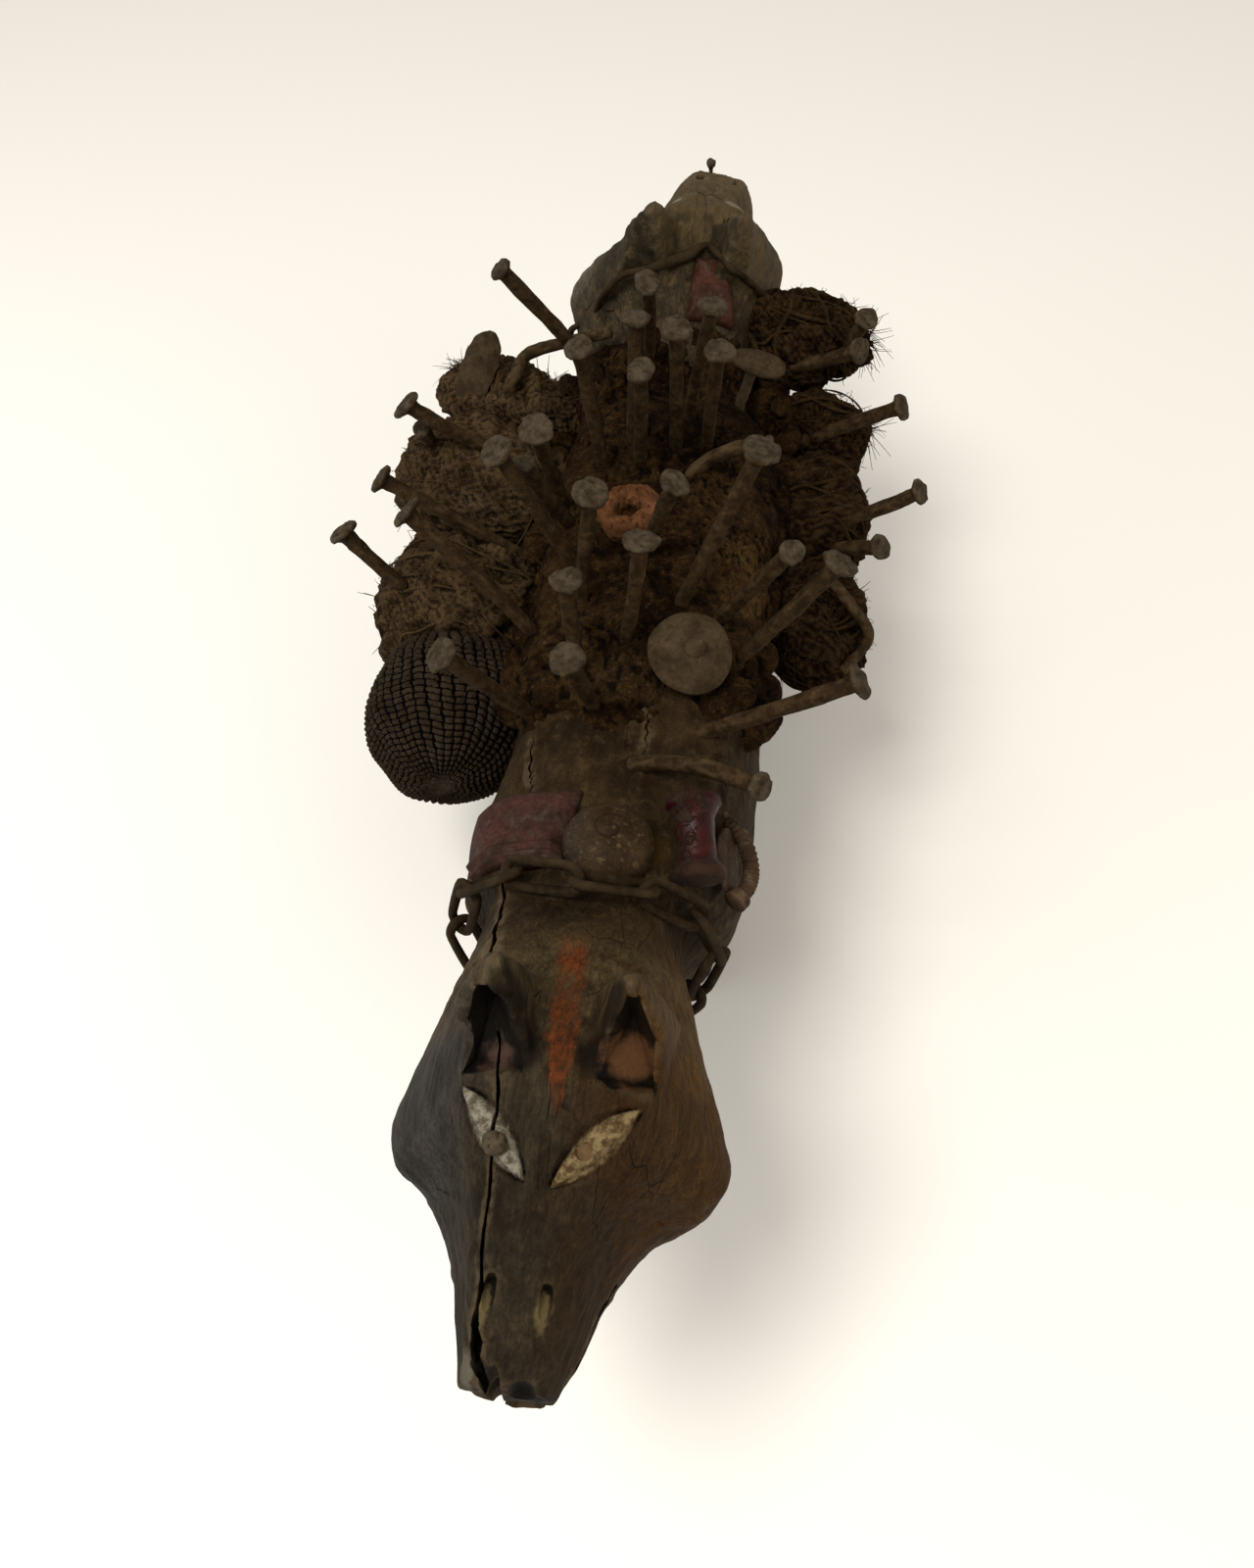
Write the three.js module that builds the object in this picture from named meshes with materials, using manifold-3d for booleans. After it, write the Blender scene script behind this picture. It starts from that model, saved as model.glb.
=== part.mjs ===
// A double-headed dog power figure: one carved log with a head at each end and four legs, driven full of
// iron nails, with medicine bundles on its flanks, an earth pack on its back and a chain round one neck.
// Millimetres, +Z up. The near head looks along -Y and the far head along +Y. Soles on Z = 0.
import * as THREE from 'three';
import Module from 'manifold-3d';
import { mergeVertices } from 'three/addons/utils/BufferGeometryUtils.js';

const wasm = await Module();
wasm.setup();

// Barrel of the body
const backHeight = 206;
const bellyHeight = 82;
const barrelHalfWidth = 61;
const barrelFront = -135;
const barrelBack = 150;

// Heads, drawn for a cheek half width of 65 and scaled from it
const cheekHalfWidth = 65;
const cheekHeight = 205;
const nearEarShift = 3;
const farEarShift = -3;
const nearShiftX = -1.5;
const nearHeadY = -267;
const farHeadY = 280;
const nearBow = 0.07;
const nearWaist = 0.17;
const cheekSkew = -0.055;
const farYaw = -1.5;
const farRoll = 9;
const farPitch = 5;
const farShiftX = 1;
const farSkew = 0.4;
const farLean = 9;
const farWaist = 0.24;

// Legs
const legHalfWidth = 15;
const legHalfLength = 19;
const pawHalfWidth = 16;
const pawReach = 28;
const pawHeight = 22;
const nearLegY = -58;
const farLegY = 112;
const legSpread = 27;

// Earth, bundles and fittings
const packThickness = 13;
const padThickness = 6;
const wireRadius = 2;
const linkLength = 38;
const linkWidth = 16;
const linkBite = 0.7;
const chainStandOff = 10;
const chainY = -168;
const domeY = -134;
const bossY = -30;
const cupY = 60;
const collarY = 240;
const chainSlope = 18;
const nailShaft = 3.9;
const nailDepth = 24;
const nailHeadThickness = 4;
const bladeThickness = 3.6;
const gap = 0.3;

const colour = (hex, roughness, metalness = 0) =>
  new THREE.MeshStandardMaterial({ color: hex, roughness, metalness });
const wood = colour(0x3b3128, 0.62);
const earth = colour(0x4a3a27, 0.95);
const clay = colour(0x7a4a2a, 0.9);
const raffia = colour(0x40301f, 0.92);
const redLeather = colour(0x4c2120, 0.55);
const brownLeather = colour(0x3a2820, 0.6);
const lacquer = colour(0x5a1a1c, 0.3);
const shell = colour(0x4b3a2c, 0.6);
const iron = colour(0x3d3029, 0.7, 0.5);

const V = (x, y, z) => new THREE.Vector3(x, y, z);
const rad = THREE.MathUtils.degToRad;

// Solids
function bare(geometry) {
  const copy = geometry.index ? geometry.clone() : geometry;
  copy.deleteAttribute('normal');
  copy.deleteAttribute('uv');
  return mergeVertices(copy, 1e-4);
}

function volumeOf(geometry) {
  const spot = geometry.attributes.position;
  const index = geometry.index.array;
  const [a, b, c] = [V(), V(), V()];
  let total = 0;
  for (let i = 0; i < index.length; i += 3) {
    a.fromBufferAttribute(spot, index[i]);
    b.fromBufferAttribute(spot, index[i + 1]);
    c.fromBufferAttribute(spot, index[i + 2]);
    total += a.dot(b.cross(c)) / 6;
  }
  return total;
}

function solid(geometry) {
  const closed = bare(geometry);
  const triangles = Uint32Array.from(closed.index.array);
  if (volumeOf(closed) < 0) {
    for (let i = 0; i < triangles.length; i += 3) {
      [triangles[i], triangles[i + 1]] = [triangles[i + 1], triangles[i]];
    }
  }
  const points = Float32Array.from(closed.attributes.position.array);
  return new wasm.Manifold(new wasm.Mesh({ numProp: 3, vertProperties: points, triVerts: triangles }));
}

function piece(name, body, material) {
  const { vertProperties, triVerts } = body.getMesh();
  const geometry = new THREE.BufferGeometry();
  geometry.setAttribute('position', new THREE.BufferAttribute(Float32Array.from(vertProperties), 3));
  geometry.setIndex(Array.from(triVerts));
  geometry.computeVertexNormals();
  const mesh = new THREE.Mesh(geometry, material);
  mesh.name = name;
  return mesh;
}

// A closed stock shape with every vertex moved by place(vertex)
function moved(geometry, place) {
  const stock = bare(geometry);
  const spot = stock.attributes.position;
  for (let i = 0; i < spot.count; i++) {
    const p = place(V().fromBufferAttribute(spot, i));
    spot.setXYZ(i, p.x, p.y, p.z);
  }
  return solid(stock);
}

// A closed tube: place(along, turn) gives the skin, and each end is closed round the middle of its ring
function tube(around, steps, place) {
  return moved(new THREE.CylinderGeometry(1, 1, 1, around, steps), (p) => {
    const along = p.y + 0.5;
    if (Math.hypot(p.x, p.z) < 0.5) {
      const middle = V();
      for (let i = 0; i < around; i++) middle.addScaledVector(place(along, i / around), 1 / around);
      return middle;
    }
    return place(along, (Math.atan2(p.x, p.z) / (2 * Math.PI) + 1) % 1);
  });
}

// A ring: place(along, turn) with along running round the closed loop
function ring(around, steps, place) {
  const tau = 2 * Math.PI;
  return moved(new THREE.TorusGeometry(2, 1, around, steps), (p) => {
    const along = (Math.atan2(p.y, p.x) / tau + 1) % 1;
    const turn = (Math.atan2(p.z, Math.hypot(p.x, p.y) - 2) / tau + 1) % 1;
    return place(along, turn);
  });
}

const placed = (position, turnX = 0, turnY = 0, turnZ = 0) => new THREE.Matrix4().compose(
  position,
  new THREE.Quaternion().setFromEuler(new THREE.Euler(rad(turnX), rad(turnY), rad(turnZ), 'ZYX')),
  V(1, 1, 1),
);

const facing = (position, up, forward = V(0, 1, 0)) => {
  const side = forward.clone().cross(up).normalize();
  const ahead = up.clone().cross(side);
  return new THREE.Matrix4().makeBasis(side, ahead, up.clone().normalize()).setPosition(position);
};

const shaped = (geometry, matrix) => moved(geometry, (p) => p.applyMatrix4(matrix));
const joined = (bodies) => bodies.reduce((all, next) => all.add(next));

// Where the two heads stand
const headUnit = cheekHalfWidth / 65;
const narrowed = (forward, middle, reach) => Math.max(0, 1 - Math.abs(forward - middle) / reach);

function nearHead(x, forward, z) {
  const waist = (x > 0 ? nearWaist : 0) * narrowed(forward, 38, 26);
  return V(x * (1 - waist) - nearBow * Math.abs(forward), cheekSkew * x - forward, z)
    .multiplyScalar(headUnit)
    .applyMatrix4(placed(V(nearShiftX, nearHeadY, cheekHeight)));
}

function farHead(x, forward, z) {
  const snout = THREE.MathUtils.clamp((forward - 30) / 50, 0, 1);
  const width = 1 + 0.25 * snout - farWaist * narrowed(forward, 20, 26);
  return V(x * width + 4 * snout - farLean * (x / 65) ** 2, forward + farSkew * x * Math.abs(x) / 65, z)
    .multiplyScalar(headUnit)
    .applyMatrix4(placed(V(farShiftX, farHeadY, cheekHeight), farPitch, farRoll, farYaw));
}

// Head sections from the snout back to the nape: forward, top, shoulder x z, side x z, jaw x z, bottom
const headSections = [
  [89, 12, 12, 9, 17, -3, 12, -12, -15],
  [74, 21, 14, 17, 22, -6, 17, -20, -26],
  [50, 31, 18, 27, 30, -6, 25, -28, -36],
  [26, 41, 24, 36, 45, -6, 36, -34, -45],
  [16, 45, 27, 40, 60, -2, 42, -36, -48],
  [2, 49, 30, 44, 65, 0, 46, -38, -52],
  [-12, 48, 34, 42, 62, -2, 44, -44, -56],
  [-35, 42, 35, 36, 56, -4, 41, -48, -62],
  [-65, 30, 31, 24, 49, -8, 35, -50, -72],
  [-110, 6, 32, -2, 47, -40, 34, -78, -98],
];

// Barrel sections from the near shoulders back: share of the length, share of the width, rise of the back,
// sideways shift of the section
const barrelSections = [
  [0, 1.03, 1, -7],
  [0.13, 1.07, 0, -3],
  [0.27, 1.02, 0, 0],
  [0.48, 1, -1, 0],
  [0.7, 1, 0, 0],
  [0.88, 1, 0, 0],
  [1, 0.92, 0, 0],
];

const outline = ([forward, top, shoulderX, shoulderZ, sideX, sideZ, jawX, jawZ, bottom], place) => [
  place(0, forward, top),
  place(shoulderX, forward, shoulderZ),
  place(sideX, forward, sideZ),
  place(jawX, forward, jawZ),
  place(0, forward, bottom),
  place(-jawX, forward, jawZ),
  place(-sideX, forward, sideZ),
  place(-shoulderX, forward, shoulderZ),
];

function barrelOutline([share, width, rise, shift]) {
  const middle = (backHeight + bellyHeight) / 2;
  const reach = barrelHalfWidth * width;
  const deep = (backHeight - bellyHeight) / 2;
  const y = barrelFront + share * (barrelBack - barrelFront);
  return outline(
    [y, deep + rise, 0.72 * reach, 0.82 * deep, reach, 0.05 * deep, 0.72 * reach, -0.74 * deep, -deep],
    (x, forward, z) => V(x + shift, forward, middle + z),
  );
}

const sections = [
  ...headSections.map((row) => outline(row, nearHead)),
  ...barrelSections.map(barrelOutline),
  ...headSections.map((row) => outline(row, farHead)).reverse(),
];
const rails = sections[0].map((_, i) => new THREE.CatmullRomCurve3(sections.map((s) => s[i])));
const lastSection = sections.length - 1;

// The wood's skin: along counts sections from the near snout, turn is 0 on top and 0.25 on the +X side
function skin(along, turn, grow = 0) {
  const at = (a, t) => new THREE.CatmullRomCurve3(
    rails.map((rail) => rail.getPoint(THREE.MathUtils.clamp(a / lastSection, 0, 1))),
    true, 'catmullrom', 0.36,
  ).getPoint((t + 1) % 1);
  const spot = at(along, turn);
  if (!grow) return spot;
  const step = 0.04;
  const inside = Math.min(Math.max(along, step), lastSection - step);
  const across = at(inside, turn + step).sub(at(inside, turn - step));
  const ahead = at(inside + step, turn).sub(at(inside - step, turn));
  return spot.addScaledVector(across.cross(ahead).normalize(), grow);
}

// Ring positions of the loft: closest on the near head
const headRings = 2;
const ringAlong = [];
for (let i = 0; i < lastSection; i++) {
  const parts = i < headSections.length ? headRings : 1;
  for (let k = 0; k < parts; k++) ringAlong.push(i + k / parts);
}
ringAlong.push(lastSection);

const woodAround = 16;
function woodLoft(grow = 0) {
  const steps = ringAlong.length - 1;
  return tube(woodAround, steps, (along, turn) => {
    const spot = skin(ringAlong[Math.round(along * steps)], turn, grow);
    if (grow && along < 0.001) spot.y -= grow;
    if (grow && along > 0.999) spot.y += grow;
    return spot;
  });
}

// The spot on the wood's upper side over x and y, with the way out of it
function onTop(x, y, grow = 0) {
  let [along, turn] = [lastSection / 2, 0];
  for (let round = 0; round < 6; round++) {
    let [low, high] = [0, lastSection];
    for (let i = 0; i < 24; i++) {
      along = (low + high) / 2;
      if (skin(along, turn).y < y) low = along;
      else high = along;
    }
    [low, high] = [-0.25, 0.25];
    for (let i = 0; i < 24; i++) {
      turn = (low + high) / 2;
      if (skin(along, turn).x < x) low = turn;
      else high = turn;
    }
  }
  const spot = skin(along, turn, grow);
  return { along, turn, spot, up: skin(along, turn, 1).sub(skin(along, turn)).normalize() };
}

// A spot beside or over the back: share of the way out to its side there, y, and rise over its top
function overBack([share, y, rise]) {
  const { along } = onTop(0, y);
  const side = skin(along, share > 0 ? 0.25 : 0.75);
  return V(Math.abs(share) * side.x, y, skin(along, 0).z + rise);
}

// A patch lying on the wood between two lengths and two turns, as thick as thickness(u, v) says
function draped(fromY, toY, fromTurn, toTurn, steps, thickness) {
  const start = onTop(0, fromY).along;
  const end = onTop(0, toY).along;
  return moved(new THREE.BoxGeometry(1, 1, 1, steps[0], steps[1], 1), (p) => {
    const [u, v] = [p.x + 0.5, p.y + 0.5];
    const lift = p.z > 0 ? thickness(u, v) : -3;
    return skin(start + (end - start) * v, fromTurn + (toTurn - fromTurn) * u, lift);
  });
}

// A crust over whole facets of the wood, lying on them with the usual gap
function crust(fromRing, toRing, fromFacet, toFacet, thickness, grow) {
  const columns = toFacet - fromFacet;
  const rows = toRing - fromRing;
  return moved(new THREE.BoxGeometry(1, 1, 1, columns, rows, 1), (p) => {
    const [u, v] = [p.x + 0.5, p.y + 0.5];
    const lift = p.z > 0 ? gap - grow : thickness(u, v) + grow;
    const edge = (share) => (share < 0.001 ? -grow : 0) + (share > 0.999 ? grow : 0);
    const ringNumber = fromRing + Math.round(rows * v);
    const facet = fromFacet + Math.round(columns * u);
    const spot = skin(ringAlong[ringNumber], facet / woodAround, lift);
    return spot.add(V(edge(u), edge(v), 0));
  });
}

// Details of a head, all in the head's own directions
// An ear is a leaning wedge of four corners: inner front, outer front, outer back and inner back
const earCorners = [
  [[9, -9, 40], [36, -11, 30], [43, -46, 14], [10, -52, 22]],
  [[17, -20, 62], [36, -24, 56], [34, -44, 50], [20, -48, 55]],
  [[25, -30, 76], [30, -33, 71], [27, -38, 73], [21, -36, 75]],
];
const earPit = [
  [[16, -8, 46], [29, -12, 40], [29, -23, 50], [24, -31, 55]],
  [[14, -10, 48], [32, -14, 39], [32, -23, 55], [25, -31, 69]],
];

function cornered(place, side, shift, levels, grow = 0) {
  const middle = levels[0].reduce((sum, corner) => sum.add(V(...corner)), V()).multiplyScalar(0.25);
  return tube(4, levels.length - 1, (along, turn) => {
    const corner = V(...levels[Math.round(along * (levels.length - 1))][Math.round(turn * 4) % 4]);
    corner.addScaledVector(corner.clone().sub(middle).setZ(0).normalize(), grow);
    return place(side * corner.x + shift, corner.y, corner.z + (along > 0.9 ? grow : 0));
  });
}

const ear = (place, side, shift, grow = 0) => cornered(place, side, shift, earCorners, grow);

function earHollow(place, side, shift) {
  const outer = earPit[1].map(([x, forward, z]) => [x + 7, forward + 21, z + 13]);
  return cornered(place, side, shift, [...earPit, outer]);
}

function eye(place, side) {
  const [halfLength, halfWidth, halfHeight] = [20.5, 5.2, 4.5];
  const [ahead, slope, tilt] = [rad(43), rad(15), rad(24)];
  return moved(new THREE.SphereGeometry(1, 6, 4), (p) => {
    const reach = Math.abs(p.y);
    const width = halfWidth * (1 - reach) / Math.max(Math.sqrt(1 - reach * reach), 0.2);
    const local = V(p.x * width, p.y * halfLength, p.z * halfHeight * (1 - reach));
    local.applyEuler(new THREE.Euler(-slope, 0, 0));
    local.applyAxisAngle(V(0, 0, 1), ahead);
    local.applyAxisAngle(V(0, 1, 0), tilt);
    return place(side * (17.8 + local.x), 12.1 + local.y, 43.7 + local.z);
  });
}

function nostril(place, side) {
  return moved(new THREE.BoxGeometry(4.5, 13, 14), (p) => place(side * 9.8 + 0.7 + p.x, 64 + p.y, 25 + p.z));
}

function mouth(place) {
  const [back, front, height] = [44, 104, 8];
  const stock = new THREE.BoxGeometry(80, 1, 1);
  return moved(stock, (p) => {
    const inner = p.y < 0;
    return place(p.x, inner ? back : front, -height + (inner ? 0.4 : 1) * height * p.z);
  });
}

const headParts = (place, shift) => [-1, 1].flatMap((side) => [ear(place, side, shift), eye(place, side)]);
const headCuts = (place, shift) => [
  mouth(place),
  ...[-1, 1].flatMap((side) => [earHollow(place, side, shift), nostril(place, side)]),
];

// The open crack down the near face, and what has broken off the two snouts
function crack() {
  const path = new THREE.CatmullRomCurve3(
    [[-22, 22], [-20, 11], [-17.5, -8], [-17, -30], [-16.5, -54], [-16, -78], [-8, -101]].map(
      ([x, y]) => V(x - 2, y + nearHeadY, 0),
    ),
  );
  return moved(new THREE.BoxGeometry(1, 1, 1, 1, 7, 1), (p) => {
    const v = p.y + 0.5;
    const spot = path.getPoint(v);
    const width = 2.2 + 4.5 * v ** 3;
    const surface = onTop(spot.x, Math.max(spot.y, nearHeadY - 90)).spot.z;
    return V(spot.x + p.x * width, spot.y, surface + (p.z > 0 ? 12 : -13));
  });
}

const brokenSnout = () => [
  moved(new THREE.BoxGeometry(9, 13, 12), (p) => {
    const taper = p.y > 0 ? 0.4 : 1;
    return nearHead(-5 + taper * p.x, 93 + p.y, 11 + p.z);
  }),
  moved(new THREE.BoxGeometry(7, 6, 30), (p) => nearHead(13 + p.x, 94 + p.y, 12 + p.z)),
  moved(new THREE.BoxGeometry(15, 10, 16), (p) => farHead(0 + p.x, 93 + p.y, 12 + p.z)),
];

// A leg with its paw, growing out of the barrel; front is -1 on the near pair and 1 on the far pair
function leg(side, y, front) {
  const bottomOfBarrel = bellyHeight + 14;
  const levels = [
    [0, front * 9, pawHalfWidth + 1, pawReach - 3],
    [7, front * 9, pawHalfWidth + 2, pawReach],
    [pawHeight, front * 7, pawHalfWidth, pawReach - 6],
    [pawHeight + 10, front * 2, legHalfWidth, legHalfLength],
    [bottomOfBarrel - 28, 0, legHalfWidth, legHalfLength],
    [bottomOfBarrel, 0, legHalfWidth + 6, legHalfLength + 7],
  ];
  return tube(8, levels.length - 1, (along, turn) => {
    const [z, shift, halfX, halfY] = levels[Math.round(along * (levels.length - 1))];
    const angle = turn * 2 * Math.PI;
    const square = (value) => Math.sign(value) * Math.abs(value) ** 0.75;
    const across = halfX * square(Math.sin(angle));
    const ahead = halfY * square(Math.cos(angle));
    return V(side * legSpread + across, y + shift + ahead, z);
  });
}

const legPlaces = [[-1, nearLegY, -1], [1, nearLegY, -1], [-1, farLegY, 1], [1, farLegY, 1]];

// Nails: a tapering shaft, a mushroomed head, and a bend if it was struck over. Grown, it is the nail's hole
function nailShape(spec, grow = 0) {
  const { foot, side, lean, proud, head = 8, bend = 0, bendTo = 0, deep = nailDepth } = spec;
  const way = V(Math.tan(rad(side)), Math.tan(rad(lean)), 1).normalize();
  const over = V(Math.cos(rad(bendTo)), Math.sin(rad(bendTo)), -0.1).normalize();
  const shaft = nailShaft * (spec.shaft ?? 1);
  const square = Math.SQRT2 * (shaft + grow);
  const profile = grow ? [[-deep - grow, square], [proud - nailHeadThickness, square]] : [
    [-deep, shaft * 0.6],
    [proud - nailHeadThickness, shaft],
    [proud - nailHeadThickness + 1.5, head],
    [proud, head * 0.8],
  ];
  const bentRadius = grow ? square : shaft * 0.9;
  if (bend) profile.splice(1, 0, ...[0, 0.3, 0.5, 0.7, 0.9].map((t) => [proud * t, bentRadius]));
  const spotAt = (reach) => {
    if (!bend || reach <= 0) return foot.clone().addScaledVector(way, reach);
    const angle = rad(bend) * Math.min(reach / proud, 1);
    const radius = proud / rad(bend);
    return foot.clone()
      .addScaledVector(way, radius * Math.sin(angle))
      .addScaledVector(over, radius * (1 - Math.cos(angle)))
      .addScaledVector(way, Math.max(reach - proud, 0) * Math.cos(angle));
  };
  return tube(grow ? 4 : 5, profile.length - 1, (along, turn) => {
    const [reach, radius] = profile[Math.round(along * (profile.length - 1))];
    const spot = spotAt(reach);
    const ahead = spotAt(reach + 0.5).sub(spotAt(reach - 0.5)).normalize();
    const across = V(0, 1, 0).cross(ahead).normalize();
    const other = ahead.clone().cross(across);
    const angle = turn * 2 * Math.PI;
    return spot
      .addScaledVector(across, radius * Math.sin(angle))
      .addScaledVector(other, radius * Math.cos(angle));
  });
}

// Bundles: centre out from the barrel's axis plane, along it and up, half sizes, and number of wraps
const bundles = {
  woven_bag: { side: -1, y: -18, z: 142, half: [43, 48, 40], wraps: 0, lean: -4 },
  left_mid_bundle: { side: -1, y: 50, z: 150, half: [48, 44, 40], wraps: 4, lean: 6 },
  left_upper_bundle: { side: -1, y: 132, z: 165, half: [50, 44, 36], wraps: 4, lean: 12 },
  left_top_bundle: { side: -1, y: 184, z: 183, half: [46, 25, 22], wraps: 3, lean: 20, inset: 8 },
  right_low_bundle: { side: 1, y: 52, z: 150, half: [28, 34, 34], wraps: 3, lean: 0 },
  right_mid_bundle: { side: 1, y: 130, z: 152, half: [29, 44, 32], wraps: 5, lean: 0, inset: 6 },
  right_upper_bundle: { side: 1, y: 198, z: 158, half: [29, 27, 28], wraps: 3, lean: 0, inset: 7 },
  right_top_bundle: { side: 1, y: 240, z: 194, half: [40, 28, 28], wraps: 2, lean: 0, inset: 34 },
};
const bundleCentre = (spec) => V(
  spec.side * (barrelHalfWidth + spec.half[0] - (spec.inset ?? 3)), spec.y, spec.z,
);

function bundleShape(spec, grow = 0) {
  const matrix = placed(bundleCentre(spec), 0, 0, spec.lean * spec.side);
  const [a, b, c] = spec.half;
  return moved(new THREE.SphereGeometry(1, 9, 6), (p) => {
    const wrap = 1 + (spec.wraps ? 0.05 * Math.cos(p.y * Math.PI * spec.wraps) : 0);
    const square = (value) => Math.sign(value) * Math.abs(value) ** 0.9;
    const across = (a * wrap + grow) * square(p.x);
    const ahead = (b + grow) * square(p.y);
    return V(across, ahead, (c * wrap + grow) * square(p.z)).applyMatrix4(matrix);
  });
}

// Fittings on the back and necks
function turned(profile, around, matrix) {
  return tube(around, profile.length - 1, (along, turn) => {
    const [radius, height] = profile[Math.round(along * (profile.length - 1))];
    const angle = turn * 2 * Math.PI;
    return V(radius * Math.sin(angle), radius * Math.cos(angle), height).applyMatrix4(matrix);
  });
}

function standing(x, y, lift, grow = 0) {
  const { spot, up } = onTop(x, y);
  return facing(spot.addScaledVector(up, lift - grow), up);
}

const packFrom = ringAlong.indexOf(headSections.length + 2);
const packTo = ringAlong.indexOf(headSections.length + barrelSections.length) + 1;
const packShape = (grow = 0) => crust(packFrom, packTo, -3, 3, (u, v) => {
  const edge = Math.min(4 * u, 4 * (1 - u), 1) * Math.min(5 * v, 5 * (1 - v), 1);
  const lumps = 0.12 * Math.sin(23 * v + 5 * u) + 0.1 * Math.sin(11 * u - 17 * v);
  return packThickness * Math.max(0.25, Math.sqrt(edge) + lumps * edge);
}, grow);

const cupShape = (grow = 0) => turned(
  [[11, -16 - grow], [12, 2], [16, 8], [16, 15], [13, 18 + grow]].map(([r, h]) => [r + grow, h]),
  8, standing(-11, cupY, 2),
);
const cupHole = () => turned([[4, 4], [6, 20]], 6, standing(-11, cupY, 2));
const bossShape = (grow = 0) => turned(
  [[18, -2 - grow], [20, 1], [11, 5 + grow]].map(([r, h]) => [r + grow, h]),
  12, standing(23, bossY, packThickness - 1),
);
const pinShape = (grow = 0) => turned(
  [[2.4, -packThickness + 4 - grow], [2.6, 4], [4.4, 5], [3, 8.5 + grow]].map(([r, h]) => [r + grow, h]),
  6, standing(23, bossY, packThickness - 1),
);
const domeShape = (grow = 0) => turned(
  [[17, -6 - grow], [20, 0], [18, 7], [10, 12.5], [4, 15 + grow]].map(([r, h]) => [r + grow, h]),
  10, standing(0, domeY, 0.5),
);

const padShape = (grow = 0) => {
  const [front, back] = [domeY - 13 - grow, domeY + 29 + grow];
  const rim = (v) => (v < 0.25 ? 3.5 : 0);
  return draped(front, back, -0.165, -0.03, [3, 4], (u, v) => padThickness + rim(v) + grow);
};
const farPadShape = () => draped(collarY - 32, collarY - 4, -0.005, 0.11, [2, 1], () => padThickness);

const spoolStart = () => onTop(34, domeY + 26).spot.add(V(0, 0, 12.5));
const spoolEnd = () => onTop(40, domeY - 10).spot.add(V(0, 0, 15.5));
const spoolShape = (grow = 0) => {
  const [start, end] = [spoolStart(), spoolEnd()];
  const matrix = facing(start, end.clone().sub(start).normalize(), V(0, 0, 1));
  const length = start.distanceTo(end);
  const rows = [[12, -grow], [12, 4], [8.5, 8], [8.5, length - 8], [12, length - 4], [12, length + grow]];
  return turned(rows.map(([r, h]) => [r + grow, h]), 10, matrix);
};

const flapShape = (grow = 0) => turned(
  [[15, -1.5 - grow], [15, 1.5 + grow]].map(([r, h]) => [r + grow, h]),
  10, facing(overBack([0.87, domeY + 8, -16]), V(0.96, 0, 0.28)),
);

function loopShape() {
  const path = new THREE.CatmullRomCurve3(
    [[0.74, 34, -20], [0.93, 22, -18], [1.05, 8, -21], [1.09, -2, -22], [1.14, -10, -22]]
      .map(([share, behind, rise]) => overBack([share, domeY + behind, rise])),
  );
  return tube(6, 7, (along, turn) => {
    const spot = path.getPoint(along);
    const ahead = path.getTangent(along);
    const across = V(0, 0, 1).cross(ahead).normalize();
    const other = ahead.clone().cross(across);
    const radius = along > 0.85 ? 5.5 : 3.7;
    const angle = turn * 2 * Math.PI;
    return spot
      .addScaledVector(across, radius * Math.sin(angle))
      .addScaledVector(other, radius * Math.cos(angle));
  });
}

// A chain link from one hinge spot to the next, its flat turned by roll, biting a little into its neighbours
function link(from, to, centre, roll, grow) {
  const middle = from.clone().add(to).multiplyScalar(0.5);
  const ahead = to.clone().sub(from).normalize();
  const out = middle.clone().sub(centre).setY(0).normalize();
  const matrix = facing(middle, out, ahead);
  const bendRadius = linkWidth / 2 - wireRadius;
  const straight = (from.distanceTo(to) - linkBite) / 2 + wireRadius - bendRadius;
  return ring(4, 6, (along, turn) => {
    const angle = 2 * Math.PI * along;
    const wire = turn * 2 * Math.PI;
    const reach = bendRadius + (wireRadius + grow) * Math.cos(wire);
    const end = Math.abs(Math.sin(angle)) < 0.01 ? 0 : Math.sign(Math.sin(angle));
    const ahead = end * straight + reach * Math.sin(angle);
    const local = V(reach * Math.cos(angle), ahead, (wireRadius + grow) * Math.sin(wire));
    return local.applyAxisAngle(V(0, 1, 0), rad(roll)).applyMatrix4(matrix);
  });
}

// The chain lies round the neck, higher on its nape than at its sides
function chainSpots() {
  const spots = [];
  const rounds = 16;
  for (let i = 0; i < rounds; i++) {
    const turn = i / rounds;
    const low = Math.max(0, -Math.cos(2 * Math.PI * turn));
    const { along } = onTop(0, chainY + chainSlope * Math.sin(2 * Math.PI * turn) ** 2);
    spots.push(skin(along, turn, chainStandOff + 2 * low));
  }
  const loop = new THREE.CatmullRomCurve3(spots, true);
  const count = 2 * Math.round(loop.getLength() / (linkLength - 4 * wireRadius) / 2);
  return loop.getSpacedPoints(count).slice(0, count);
}

function chainShape(grow = 0) {
  const spots = chainSpots();
  const rollOf = (i) => (i % 2 ? 50 : -40);
  const centre = V();
  for (const spot of spots) centre.addScaledVector(spot, 1 / spots.length);
  return joined(spots.map((spot, i) => link(spot, spots[(i + 1) % spots.length], centre, rollOf(i), grow)));
}

const collarShape = (grow = 0) => ring(4, 18, (along, turn) => {
  const tilt = 10 * Math.cos(2 * Math.PI * along);
  const start = onTop(0, collarY - tilt).along;
  const centre = skin(start, along, 3.4);
  const out = skin(start, along, 4).sub(centre).normalize();
  const angle = turn * 2 * Math.PI;
  const radius = wireRadius + grow;
  return centre.addScaledVector(out, radius * Math.cos(angle)).add(V(0, radius * Math.sin(angle), 0));
});

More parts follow.
